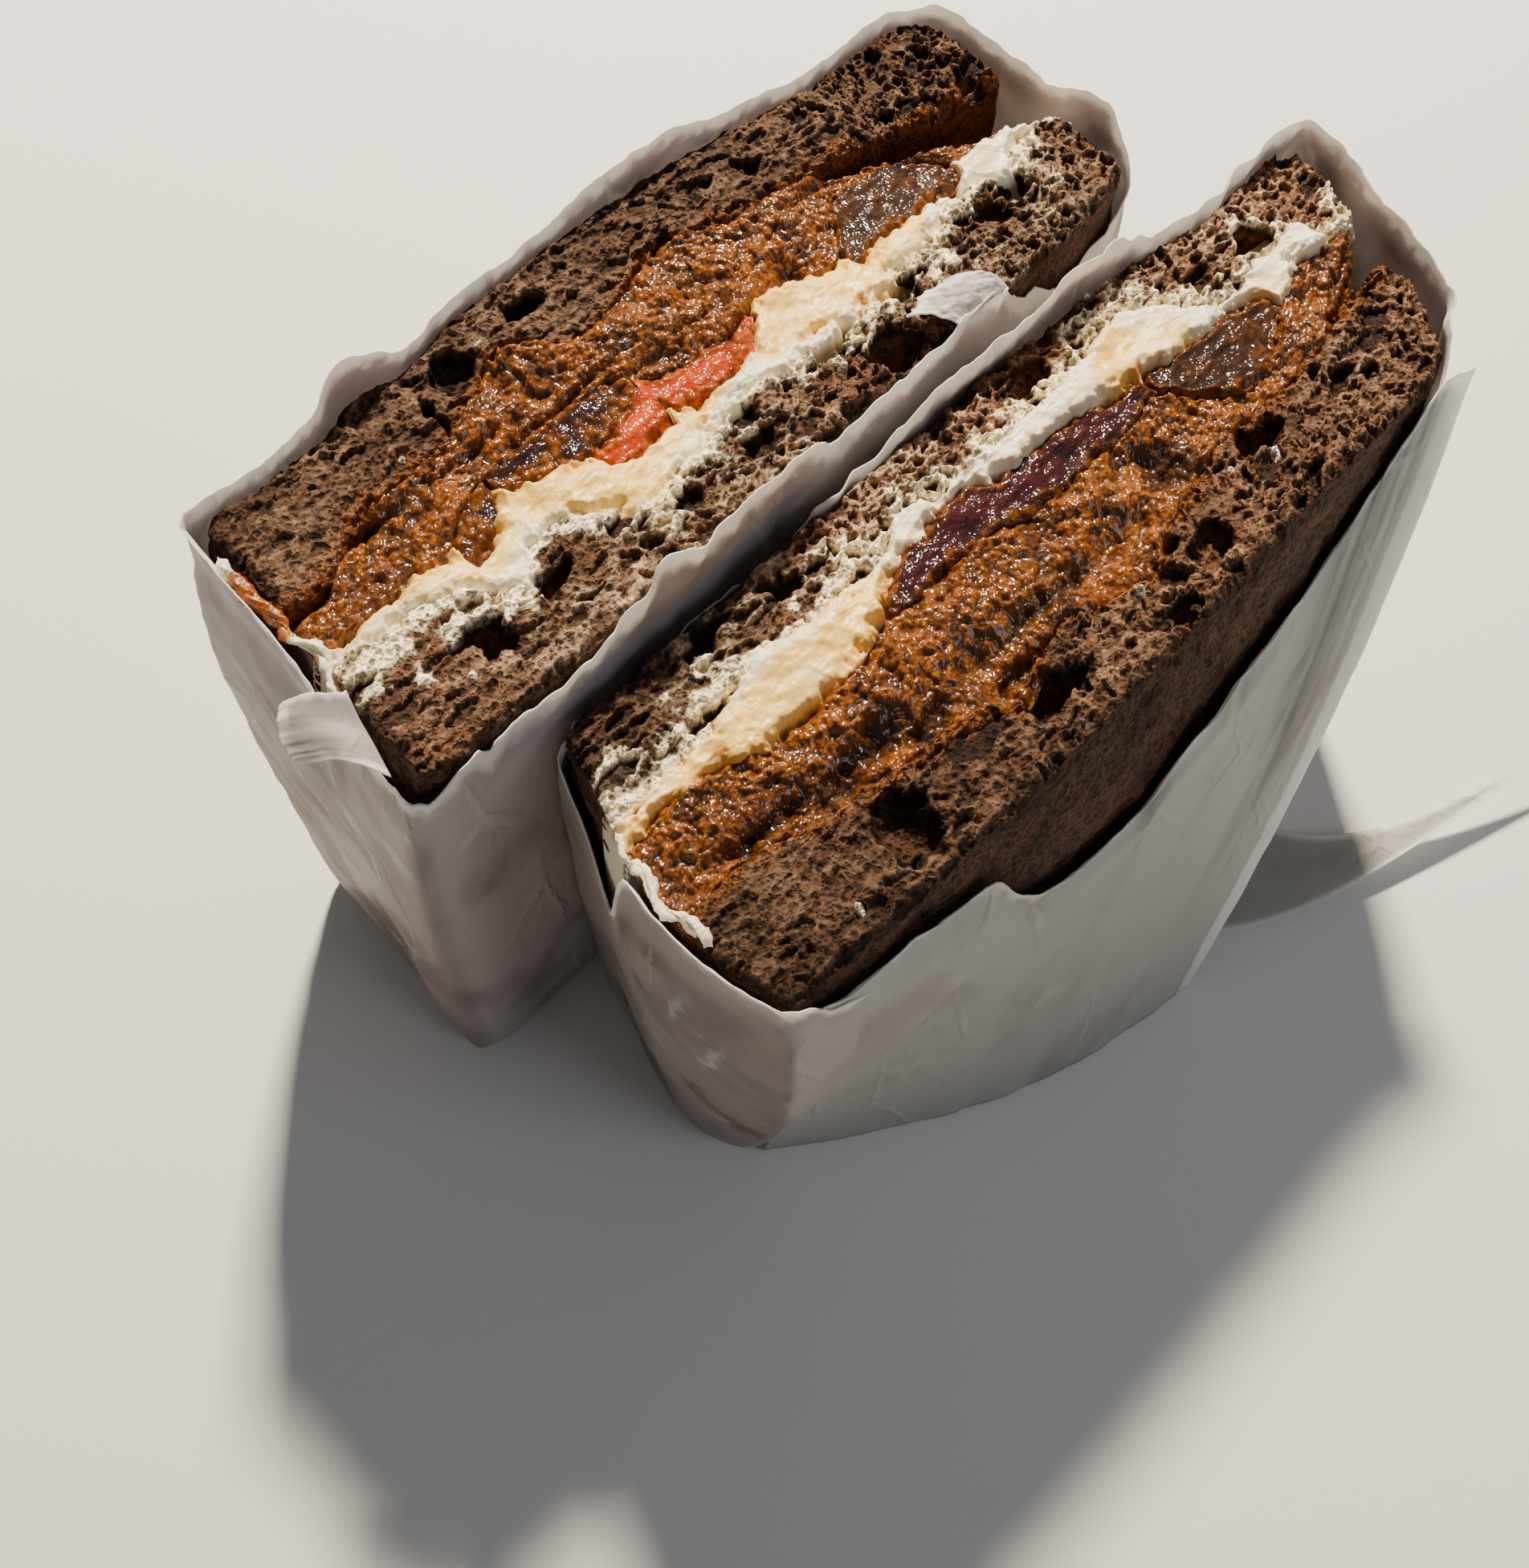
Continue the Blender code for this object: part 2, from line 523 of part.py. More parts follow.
def web():
    """The crumpled fold between the two bags at their near end."""
    z = np.linspace(0.3, 30, 6)
    pleat = np.array([-54.0, -53.5, -54.0])
    walls = []
    for half in ("left", "right"):
        x = np.full_like(z, -54 - HALF_SHIFT[half][0])
        wall = BREAD_INSIDE[half](x) - PAPER_MARGIN - 0.3
        walls.append(settle(half, x, wall, z - CUT_HEIGHT[half])[:, 1])
    share = np.linspace(0, 1, len(pleat))
    grid = np.zeros((len(z), len(pleat), 3))
    grid[..., 0] = pleat[None, :] - 0.05 * z[:, None]
    grid[..., 1] = walls[0][:, None] + (walls[1] - walls[0])[:, None] * share[None, :]
    grid[..., 2] = z[:, None]
    return sheet(grid, PAPER)


PANEL_TOP = curve((-58, -9), (-52, -11.5), (-38, -14.5), (-30, -24.5), (-15, -27.5), (0, -22.5),
                  (20, -14.5), (30, -11.5), (50, -3.5), (58, -3.5), (65, -8))


def side_panel():
    """The loose outer sheet on the right half, hanging from under the rim to the table."""
    half = "right"
    share = np.linspace(0, 1, 12)
    drop = np.linspace(0, 1, 5)
    x = -58 + (65 + 58) * share
    wall = BREAD_OUTSIDE[half](np.minimum(x, 55)) + PAPER_MARGIN + PAPER
    top = settle(half, x, wall, PANEL_TOP(x))
    near, far = np.array([-59.0, -44.0, 0.9]), np.array([9.0, -74.0, 0.9])
    foot = near + (far - near) * share[:, None]
    foot[:, 1] -= 6 * np.sin(np.pi * share)
    grid = top[None] + (foot - top)[None] * drop[:, None, None]
    grid[..., 1] -= 2.0 * np.sin(np.pi * drop)[:, None] * (0.3 + share)[None, :]
    layout_x = np.clip(grid[1:, :, 0] - HALF_SHIFT[half][0], -66, 65)
    clear = BREAD_OUTSIDE[half](layout_x) + PAPER_MARGIN + 2.2 * PAPER
    bag_wall = settle(half, layout_x, clear, grid[1:, :, 2] - CUT_HEIGHT[half])
    grid[1:, :, 1] = np.minimum(grid[1:, :, 1], bag_wall[..., 1])
    return sheet(grid, PAPER)


def tail():
    """The loose corner of the wrap, lying out beyond the right half's far side."""
    across = np.linspace(0, 1, 4)
    along = np.linspace(0, 1, 7)
    near_side = np.array([[4, -40, 0.7], [12, -76, 0.7], [21, -80, 0.7], [80, -92, 7]], float)
    far_side = np.array([[40, -40, 0.7], [36, -68, 0.7], [37, -78, 1.5], [80, -91, 7]], float)

    def bezier(p):
        t = along[:, None]
        return ((1 - t) ** 3 * p[0] + 3 * t * (1 - t) ** 2 * p[1] + 3 * t * t * (1 - t) * p[2]
                + t ** 3 * p[3])

    grid = bezier(far_side)[None] * across[:, None, None]
    grid = grid + bezier(near_side)[None] * (1 - across)[:, None, None]
    return sheet(grid, PAPER)


def tongue():
    """The torn flap that folds out at the left half's near end."""
    across = np.linspace(-2.5, -15, 6)
    out = np.array([-64.6, -66.5, -68.5, -70.0])
    drop = np.array([-2.0, -2.6, -4.4, -7.5])
    v, x = np.meshgrid(across, out)
    z = np.repeat(drop[:, None], 6, axis=1) - 0.28 * (-2.5 - v)
    x = x - 0.08 * (v + 15)
    return sheet(settle("left", x, v, z), PAPER)


def keep_main_body(mesh):
    """Drop loose scraps and fill sealed hollows: only the largest closed surface stays."""
    bm = bmesh.new()
    bm.from_mesh(mesh)
    bmesh.ops.triangulate(bm, faces=bm.faces)
    seen, surfaces = set(), []
    for start in bm.faces:
        if start in seen:
            continue
        surface, waiting = [], [start]
        seen.add(start)
        while waiting:
            face = waiting.pop()
            surface.append(face)
            for edge in face.edges:
                for other in edge.link_faces:
                    if other not in seen:
                        seen.add(other)
                        waiting.append(other)
        surfaces.append(surface)
    surfaces.sort(key=len)
    for surface in surfaces[:-1]:
        bmesh.ops.delete(bm, geom=surface, context="FACES")
    bm.to_mesh(mesh)
    bm.free()


def paper_wrap(material):
    """The whole wrap as one closed body: two bags, the hinge, the loose side and the flaps."""
    scraps = bpy.data.collections.new("wrap_parts")
    bpy.context.scene.collection.children.link(scraps)
    for name, (points, faces) in {"bag_right": bag("right"), "hinge": hinge(), "web": web(),
                                  "side": side_panel(), "tail": tail(),
                                  "tongue": tongue()}.items():
        scraps.objects.link(bpy.data.objects.new(name, closed_mesh(name, points, faces)))
    wrap = add_object("paper_wrap", closed_mesh("paper_wrap", *bag("left")), material)
    union = wrap.modifiers.new("union", "BOOLEAN")
    union.operation = "UNION"
    union.operand_type = "COLLECTION"
    union.collection = scraps
    union.solver = "EXACT"
    bpy.context.view_layer.update()
    evaluated = wrap.evaluated_get(bpy.context.evaluated_depsgraph_get())
    joined = bpy.data.meshes.new_from_object(evaluated)
    wrap.modifiers.clear()
    keep_main_body(joined)
    wrap.data = joined
    for scrap in list(scraps.objects):
        bpy.data.objects.remove(scrap, do_unlink=True)
    bpy.data.collections.remove(scraps)
    return wrap


for old in list(bpy.data.objects):
    bpy.data.objects.remove(old, do_unlink=True)

RYE = finish("rye_bread", (0.085, 0.040, 0.022), 0.85)
SPREAD = finish("chunky_spread", (0.36, 0.125, 0.022), 0.3)
CREAM = finish("cream_cheese", (0.82, 0.74, 0.55), 0.5)
ROASTED = {
    "aubergine_end": finish("aubergine_end", (0.045, 0.018, 0.022), 0.25),
    "aubergine_strip": finish("aubergine_strip", (0.050, 0.016, 0.022), 0.25),
    "aubergine_skin": finish("aubergine_skin", (0.030, 0.014, 0.016), 0.3),
    "roast_slice": finish("roast_slice", (0.085, 0.040, 0.028), 0.3),
    "red_pepper": finish("red_pepper", (0.55, 0.090, 0.025), 0.3),
}
PAPER_WHITE = finish("greaseproof_paper", (0.72, 0.71, 0.69), 0.6)

for side in ("left", "right"):
    food(side, RYE, SPREAD, CREAM, ROASTED)
paper_wrap(PAPER_WHITE)
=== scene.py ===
"""Looks of the halved rye sandwich in its paper wrap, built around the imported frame.

Sizes are in millimetres and become metres where a mesh is made. Each half is laid out straight,
x along it, v across it towards its outer slice, z up from the cut face; settle() then swells,
leans and turns it into place, as the frame has it.
"""
import math

import bpy
import numpy as np
from mathutils import Matrix, Vector


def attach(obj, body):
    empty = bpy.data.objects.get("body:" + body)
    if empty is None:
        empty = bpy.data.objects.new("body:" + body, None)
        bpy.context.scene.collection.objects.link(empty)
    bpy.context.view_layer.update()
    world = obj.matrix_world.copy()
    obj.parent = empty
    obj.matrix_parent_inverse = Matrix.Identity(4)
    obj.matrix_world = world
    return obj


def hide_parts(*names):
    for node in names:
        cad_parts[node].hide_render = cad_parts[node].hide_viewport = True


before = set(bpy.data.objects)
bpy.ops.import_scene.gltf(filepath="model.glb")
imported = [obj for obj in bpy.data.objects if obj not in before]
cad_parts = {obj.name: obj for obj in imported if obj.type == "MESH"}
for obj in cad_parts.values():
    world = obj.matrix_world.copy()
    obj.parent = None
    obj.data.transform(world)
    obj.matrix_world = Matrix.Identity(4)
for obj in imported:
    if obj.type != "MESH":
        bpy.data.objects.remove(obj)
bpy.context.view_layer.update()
MM = 0.001

# The table, the lights and the camera
# A pale matt table, a bright soft box up behind the far ends, where the sun stood, and a pale
# room all round. The camera looks down on the cut faces from the near right corner.

CAMERA_PLACE = (-102.88, -70.53, 250.81)
CAMERA_RIGHT = (0.6986, -0.7139, 0.0477)
CAMERA_UP = (0.6399, 0.6532, 0.4049)
CAMERA_BACK = (-0.3203, -0.2523, 0.9131)
FOCAL_LENGTH, SENSOR = 37.44, 36.0
TABLE_SIZE = 3000.0
# Each soft box: place, size, power, colour; and the point they are turned to
SOFT_BOXES = {
    "sun_side": ((430, 520, 740), 90, 30.0, "#fff0d8"),
    "room_side": ((200, -700, 500), 400, 1.2, "#eef3ff"),
}
LIT_POINT = (0, 0, 60)
ROOM_COLOUR, ROOM_STRENGTH = "#f4f2ef", 0.15


def linear(colour):
    """sRGB hex to linear RGB: the sRGB curve undone on each channel."""
    channels = np.array([int(colour[k:k + 2], 16) / 255 for k in (1, 3, 5)])
    return np.where(channels <= 0.04045, channels / 12.92, ((channels + 0.055) / 1.055) ** 2.4)


def node(tree, kind, links=None, **settings):
    """Adds a node: settings are its properties, links its inputs, as values or sockets."""
    new = tree.nodes.new(kind)
    for name, value in settings.items():
        setattr(new, name, value)
    for name, value in (links or {}).items():
        if isinstance(value, bpy.types.NodeSocket):
            tree.links.new(value, new.inputs[name])
        else:
            new.inputs[name].default_value = value
    return new


def new_material(name):
    """An empty material and its node tree."""
    material = bpy.data.materials.new(name)
    material.use_nodes = True
    material.node_tree.nodes.clear()
    return material, material.node_tree


def surface(tree, **links):
    """The Principled shader with its inputs, joined to the output."""
    shader = node(tree, "ShaderNodeBsdfPrincipled", {k.replace("_", " "): v for k, v in links.items()})
    node(tree, "ShaderNodeOutputMaterial", {"Surface": shader.outputs["BSDF"]})
    return shader


def rgba(colour):
    """An opaque linear colour from sRGB hex."""
    return (*linear(colour), 1.0)


def scene_object(name, data):
    """Links new object data into the scene."""
    obj = bpy.data.objects.new(name, data)
    bpy.context.scene.collection.objects.link(obj)
    return obj


# Matt laminate: an even pale grey with no gloss
laminate, tree = new_material("matt_laminate")
surface(tree, Base_Color=rgba("#e9e8e6"), Roughness=0.9)
table_mesh = bpy.data.meshes.new("table")
half_table = TABLE_SIZE / 2 * MM
table_mesh.from_pydata([(-half_table, -half_table, 0), (half_table, -half_table, 0),
                        (half_table, half_table, 0), (-half_table, half_table, 0)], [], [(0, 1, 2, 3)])
table_mesh.materials.append(laminate)
table = scene_object("table", table_mesh)

camera = scene_object("camera", bpy.data.cameras.new("camera"))
camera.data.lens = FOCAL_LENGTH
camera.data.sensor_width = SENSOR
camera.data.clip_start = 0.01
turned = Matrix((CAMERA_RIGHT, CAMERA_UP, CAMERA_BACK)).transposed().to_quaternion()
camera.matrix_world = Matrix.LocRotScale(Vector(CAMERA_PLACE) * MM, turned, None)
bpy.context.scene.camera = camera

for name, (place, size, power, colour) in SOFT_BOXES.items():
    lamp = bpy.data.lights.new(name, "AREA")
    lamp.size = size * MM
    lamp.energy = power
    lamp.color = linear(colour)
    box = scene_object(name, lamp)
    aim = Vector(LIT_POINT) - Vector(place)
    box.matrix_world = Matrix.LocRotScale(Vector(place) * MM, aim.to_track_quat("-Z", "Y"), None)

room = bpy.data.worlds.new("pale_room")
room.use_nodes = True
room.node_tree.nodes["Background"].inputs["Color"].default_value = rgba(ROOM_COLOUR)
room.node_tree.nodes["Background"].inputs["Strength"].default_value = ROOM_STRENGTH
bpy.context.scene.world = room


# The rye slices
# Four slices of dark, dense, moist rye bread, cut across with a serrated knife: an open crumb of
# pores with thin walls, dragged along near the edges, stained by the spread and the cream, and a
# thin dark crust at the ends and on the flat sides.

# Each half's cut face over the table, its place, its turn, and the side its outer slice is on
CUT_HEIGHT = {"left": 84.0, "right": 81.0}
HALF_SHIFT = {"left": (-6.5, 24.4), "right": (6.5, -24.4)}
YAW = {"left": 1.0, "right": -1.0}
PITCH = {"left": 1.2, "right": -1.2}
OUTER = {"left": 1, "right": -1}
# The food's foot over the table, and the gap between two layers
CRUST_LIFT = 1.6
GAP = 0.3
# How a half swells below its cut face: over what depth, how far at its ends and on its two sides,
# how it tapers towards its foot, and how far its foot leans
SWELL_DEPTH = 16.0
NEAR_SWELL = {"left": 6.0, "right": 2.5}
FAR_SWELL = 1.5
SIDE_BULGE = {"left": (1.5, 1.5), "right": (3.0, 6.0)}
BULGE_REACH = 65
INNER_BULGE = 0.4
FOOT_TAPER = {"left": 4.0, "right": 8.0}
FOOT_LEAN = -5.0
# The size of a half, halved but for the depth, the rounding of its foot, and the grids' step
NOMINAL_DEPTH = 80.0
HALF_LENGTH = 62.0
HALF_THICKNESS = 21.0
CRUST_RADIUS = 14.0
CRUST_INSET = (0.09, 0.13)
STEP = 0.2
# Depths of the rings down a piece's side: fine where bread shows beside the paper
BREAD_DEPTHS = (0.6, 1.2, 1.9, 2.7, 3.5, 4.4, 5.4, 6.4, 7.5, 8.7, 10.0, 11.5, 13.0, 15.0, 17.0, 19.0,
                21.5, 24.0, 27.0, 32.0, 40.0, 52.0, 66.0)
FILLING_DEPTHS = (1.0, 2.2, 3.6, 5.2, 7.0, 9.0, 12.0, 16.0, 24.0, 40.0, 60.0)


def curve(*points):
    """A height over x through a few points, cubic between them and never past them."""
    px, py = np.array(points, float).T
    run = np.diff(px)
    rise = np.diff(py) / run
    slope = np.zeros_like(py)
    slope[0], slope[-1] = rise[0], rise[-1]
    same = rise[:-1] * rise[1:] > 0
    total = np.where(same, rise[:-1] + rise[1:], 1.0)
    slope[1:-1] = np.where(same, 2 * rise[:-1] * rise[1:] / total, 0.0)

    def at(x):
        x = np.clip(x, px[0], px[-1])
        k = np.clip(np.searchsorted(px, x) - 1, 0, len(run) - 1)
        t = (x - px[k]) / run[k]
        start = (1 + 2 * t) * (1 - t) ** 2 * py[k] + t * (1 - t) ** 2 * run[k] * slope[k]
        end = t * t * (3 - 2 * t) * py[k + 1] + t * t * (t - 1) * run[k] * slope[k + 1]
        return start + end

    return at


def rough(x, y, size, seed):
    """Smooth random heights from -1 to 1 with bumps of the given size."""
    table = np.random.default_rng(seed).uniform(-1, 1, (64, 64))
    u, v = np.asarray(x) / size, np.asarray(y) / size
    i, j = np.floor(u).astype(int), np.floor(v).astype(int)
    a, b = u - i, v - j
    a, b = a * a * (3 - 2 * a), b * b * (3 - 2 * b)
    c00, c10 = table[i % 64, j % 64], table[(i + 1) % 64, j % 64]
    c01, c11 = table[i % 64, (j + 1) % 64], table[(i + 1) % 64, (j + 1) % 64]
    return (c00 * (1 - a) + c10 * a) * (1 - b) + (c01 * (1 - a) + c11 * a) * b


def rugged(x, y, size, seed, octaves=4):
    """Rough heights with finer ones added, each half as large and half as high."""
    return sum(rough(x, y, size / 2 ** k, seed + k) / 2 ** k for k in range(octaves)) / 1.6


def cells(x, y, size, seed):
    """One random point in each square of the given size: the distances to the nearest and the
    second nearest one, in squares, and the nearest one's own random number."""
    table = np.random.default_rng(seed).uniform(0, 1, (64, 64, 3))
    u, v = np.asarray(x) / size, np.asarray(y) / size
    i, j = np.floor(u).astype(int), np.floor(v).astype(int)
    nearest = np.full(u.shape, 9.0)
    second = np.full(u.shape, 9.0)
    number = np.zeros(u.shape)
    for di in (-1, 0, 1):
        for dj in (-1, 0, 1):
            point = table[(i + di) % 64, (j + dj) % 64]
            away = np.hypot(i + di + point[..., 0] - u, j + dj + point[..., 1] - v)
            closer = away < nearest
            second = np.where(closer, nearest, np.minimum(second, away))
            number = np.where(closer, point[..., 2], number)
            nearest = np.where(closer, away, nearest)
    return nearest, second, number


def ease(start, stop, value):
    """0 before start, 1 after stop, smooth between; start may be the larger."""
    t = np.clip((value - start) / (stop - start), 0, 1)
    return t * t * (3 - 2 * t)


def blend(a, b, share):
    """Colours a and b mixed by a share over the grid."""
    return a + (b - a) * np.asarray(share)[..., None]


def turn(half, x, y, z):
    """Turn a half by its yaw and pitch and stand it at its place and height."""
    yaw, pitch = math.radians(YAW[half]), math.radians(PITCH[half])
    x, y = x * math.cos(yaw) - y * math.sin(yaw), x * math.sin(yaw) + y * math.cos(yaw)
    x, z = x * math.cos(pitch) + z * math.sin(pitch), z * math.cos(pitch) - x * math.sin(pitch)
    shift = HALF_SHIFT[half]
    return np.stack([x + shift[0], y + shift[1], z + CUT_HEIGHT[half]], axis=-1)


def settle(half, x, v, z):
    """Move straight layout points to where the squeezed, leaning half has them."""
    x, v, z = np.broadcast_arrays(np.asarray(x, float), v, z)
    depth = np.clip(-z, 0, NOMINAL_DEPTH)
    spread = 1 - np.exp(-depth / SWELL_DEPTH)
    belly = np.sin(np.pi * depth / NOMINAL_DEPTH) ** 0.8
    foot = (depth / NOMINAL_DEPTH) ** 2
    end_bulge, middle_bulge = SIDE_BULGE[half]
    angle = np.clip(x, -BULGE_REACH, BULGE_REACH) * np.pi / (2 * BULGE_REACH)
    bulge = end_bulge + middle_bulge * np.cos(angle) ** 2
    x_new = x * (1 + spread * np.where(x < 0, NEAR_SWELL[half], FAR_SWELL) / HALF_LENGTH)
    outer = (belly * bulge - foot * FOOT_TAPER[half]) / HALF_THICKNESS
    inner = belly * INNER_BULGE / HALF_THICKNESS
    y_new = OUTER[half] * v * (1 + np.where(v > 0, outer, inner))
    y_new = y_new + FOOT_LEAN * depth / NOMINAL_DEPTH
    return turn(half, x_new, y_new, z)


# The seams of each cut face, as the distance v over x, from the outer slice inwards
BREAD_OUTSIDE = {
    "left": curve((-62.5, 19.5), (-59, 22), (-43, 21.8), (-37, 23.8), (-30, 22.8), (-20, 24.3),
                  (5, 25), (20, 24.6), (35, 22.7), (45, 21.2), (58, 21.3), (62.5, 20), (65, 17),
                  (66.3, 12)),
    "right": curve((-67, 18.5), (-64.5, 20.2), (-38, 21), (20, 19.6), (40, 18.9), (54, 18.9),
                   (58, 17.8), (61, 15), (63.5, 11), (65.5, 7)),
}
BREAD_TO_SPREAD = {
    "left": curve((-62.5, 6.5), (-56, 6.6), (-47, 10.2), (-40, 11.4), (-34, 11), (-25, 14.8),
                  (-18, 17.2), (-14, 13.6), (-8, 11.8), (9, 15.3), (18, 12), (38, 10.3), (44, 8.6),
                  (66.3, 5.2)),
    "right": curve((-67.5, 6), (-58, 4.8), (-43, 8), (-24, 10.3), (-20, 12.8), (-8, 9.2),
                   (1, 11.8), (7, 12.4), (11, 9.8), (28, 6.2), (46, 6.1), (56, 3.8), (65.5, 3.2)),
}
GAPE = {
    "left": curve((-62.5, 2.2), (-56, 2), (-53, GAP), (30, GAP), (38, 4), (50, 7.1), (58, 8.9)),
    "right": curve((50, GAP), (55.5, 1.2), (60, 2.4), (66, 6)),
}
SPREAD_INSIDE = {
    "left": curve((-62.5, -0.5), (-44, -1.3), (-37.5, 3.2), (-31, 4.4), (-20, 4.7), (-13, 4.4),
                  (-8, 1.5), (4, -1), (10, 0.8), (19, -1.8), (23, -2.4), (31, 4.6), (36, 5.2),
                  (41, 4.4), (49, -1.9), (58, -3)),
    "right": curve((-67, -4.5), (-62, -6), (-48, -4.8), (-43, -2.8), (-36, -2.6), (-24, -5.4),
                   (-4, -5), (3, -3.3), (20, -3.5), (25, -5), (32, 0.8), (37, 2.9), (43, 1.8),
                   (51, -2.8), (55, -4.8), (66, -4)),
}
CREAM_TO_BREAD = {
    "left": curve((-62.5, -3.2), (-57, -3.6), (-48, -4.8), (-40, -10.2), (-35, -7.6), (-30, -7.2),
                  (-20, -13), (-12, -11.4), (-2, -9.9), (20, -10.6), (36, -8.6), (41, -6.6),
                  (47, -6.6), (51.5, -9.4), (55, -6.4), (60.5, -5), (66, -7)),
    "right": curve((-66, -9.4), (-56, -8.8), (-38, -12.6), (-30, -11.2), (-20, -12.4), (-9, -15.4),
                   (-4, -13.7), (8, -13.6), (19, -13.8), (31, -17), (36, -15), (39, -10.5),
                   (49, -8.3), (54, -9.8), (62, -8.8), (65, -5.4), (72, -4.6)),
}
BREAD_INSIDE = {
    "left": curve((-64.5, -20.3), (-60, -21.8), (-30, -21.8), (30, -21.2), (45, -21), (60, -20),
                  (65, -18.5), (66, -15.5)),
    "right": curve((-62, -20.6), (-58, -21.6), (20, -21.8), (45, -20.2), (55, -18.6), (60, -19),
                   (69, -19.5), (72, -18.4)),
}
# The ends of the cut face, as x over v
NEAR_END = {
    "left": curve((-20, -64.5), (-5, -63), (6, -62), (22, -60.8)),
    "right": curve((-21.5, -61.5), (-14, -63.5), (-5, -66.5), (3, -68), (12, -67.5), (20, -65.5)),
}
FAR_END = {
    "left": curve((-18, 65.3), (-7, 65.8), (5.5, 66), (12, 66.3)),
    "right": curve((-19, 71.6), (-16, 72.2), (-4.5, 68.6), (3, 65.7), (7, 65.4)),
}

# Large holes in the crumb: x, v, half length, half width, depth
HOLES = {
    "left": ((-24, 18.5, 3.5, 2.6, 5), (-11.5, 19.5, 3, 1.6, 4), (-47, -12.6, 2.4, 2.2, 6),
             (-36, -12.6, 3, 1.8, 4), (26, -11.5, 3.6, 1.6, 7), (51, -10.8, 2.6, 1.8, 6),
             (18.5, -17.6, 4.2, 3, 10), (62, 7, 3, 2, 5), (-5, -15.5, 3, 2, 3),
             (-17, -15.5, 3, 2, 3), (9, 14, 2.4, 1.4, 3), (26.5, 17, 2, 1, 2.5),
             (45, -11.5, 1.8, 1.6, 3.5), (13, -11.6, 3, 1.2, 3.5), (-31, 14.5, 0.8, 2.8, 4)),
    "right": ((-41, 14.5, 3.4, 4.6, 6), (-15, 14, 4.6, 2.2, 6), (14, 14, 3.4, 2, 5),
              (4, 17.5, 2.6, 1.6, 5), (31, 8.6, 4.4, 1.8, 6), (55, -12.5, 3.2, 2.2, 8),
              (16, -18, 4, 2.2, 6), (-29, -17.5, 3, 2, 4), (33, 16.4, 2.4, 1.4, 3),
              (-40, -19, 4, 1.6, 3), (45, -13, 2, 1.4, 3), (10, 11, 2, 1.2, 3)),
}
# The crumb's pores: size, share of them that are open, depth, width of the walls, seed
PORES = ((3.3, 0.22, 2.2, 0.40, 61), (1.75, 0.80, 1.5, 0.50, 62), (0.95, 0.85, 0.7, 0.50, 63))
PORE_STRETCH = 1.25
# The crumb's colours; the third is the painted shade inside the pores and holes
CRUMB, CRUMB_LIGHT, CRUMB_PORE_SHADE, CRUMB_RED = (
    linear("#583d2c"), linear("#9a785d"), linear("#26180f"), linear("#60402a"))
CRUST = linear("#3c291e")
SPREAD_STAIN = linear("#562e0d")
CREAM_STAIN = linear("#e8d9b6")
# How light each slice is over x, against the lightest: partly painted shade, the darker near end
# of the right inner slice standing for the shadow of the left half
SLICE_TONE_AND_SHADE = {
    "outer_left": curve((-62, 0.45), (0, 0.4), (66, 0.6)),
    "inner_left": curve((-62, 0.8), (0, 0.88), (66, 0.85)),
    "outer_right": curve((-66, 0.3), (-20, 0.52), (10, 0.92), (66, 0.85)),
    "inner_right": curve((-66, 0.34), (-40, 0.55), (-10, 1.7), (66, 1.4)),
}
# How far the knife has dragged the crumb shut, from 0 for open pores to 1
DRAGGED = {
    "outer_left": curve((-64, 0.75), (38, 0.7), (50, 0.1), (66, 0)),
    "inner_left": curve((-64, 0.6), (-40, 0.45), (-5, 0.15), (66, 0)),
    "outer_right": curve((-68, 0.75), (-50, 0.6), (-20, 0.3), (20, 0.2), (66, 0.1)),
    "inner_right": curve((-68, 0.6), (-40, 0.4), (-20, 0.1), (72, 0)),
}


def layer(low, high, near, far, over):
    """The grid of a layer between two seams: columns run from the near to the far end, rows from
    the low to the high seam, each passed by its share of over. Returns x, v and the distance
    inside the low seam, inside the high seam and inside the nearer end."""
    def end_x(end, v):
        return end(v) if callable(end) else np.full_like(v, end)

    v_middle = (low(0.0) + high(0.0)) / 2
    near_x, far_x = (float(end_x(end, np.array([v_middle]))[0]) for end in (near, far))
    columns = round((far_x - near_x) / STEP)
    width = np.max(high(np.linspace(near_x, far_x, 90)) - low(np.linspace(near_x, far_x, 90)))
    rows = max(4, round((width + sum(over)) / STEP * 0.9))
    t = np.linspace(0, 1, columns + 1)[:, None]
    share = np.linspace(0, 1, rows + 1)[None, :]
    x = near_x + (far_x - near_x) * t + 0 * share
    for _ in range(2):
        bottom, top = low(x) - over[0], high(x) + over[1]
        v = bottom + (top - bottom) * share
        x = near_x + (far_x - near_x) * t
        x = x + (end_x(near, v) - near_x) * ease(0.12, 0, t) + (end_x(far, v) - far_x) * ease(0.88, 1, t)
    ends = np.minimum(x - end_x(near, v), end_x(far, v) - x)
    return x, v, v - low(x), high(x) - v, ends


def write_mesh(name, points, quads, polygons=()):
    """A mesh in metres from points in millimetres, an array of quads and a few larger faces."""
    loops = np.concatenate([quads.reshape(-1)] + [np.asarray(p) for p in polygons])
    sizes = np.array([4] * len(quads) + [len(p) for p in polygons])
    mesh = bpy.data.meshes.new(name)
    mesh.vertices.add(len(points))
    mesh.vertices.foreach_set("co", (points * MM).astype(np.float32).reshape(-1))
    mesh.loops.add(len(loops))
    mesh.loops.foreach_set("vertex_index", loops.astype(np.int32))
    mesh.polygons.add(len(sizes))
    mesh.polygons.foreach_set("loop_start", (np.cumsum(sizes) - sizes).astype(np.int32))
    mesh.update(calc_edges=True)
    mesh.shade_smooth()
    return mesh


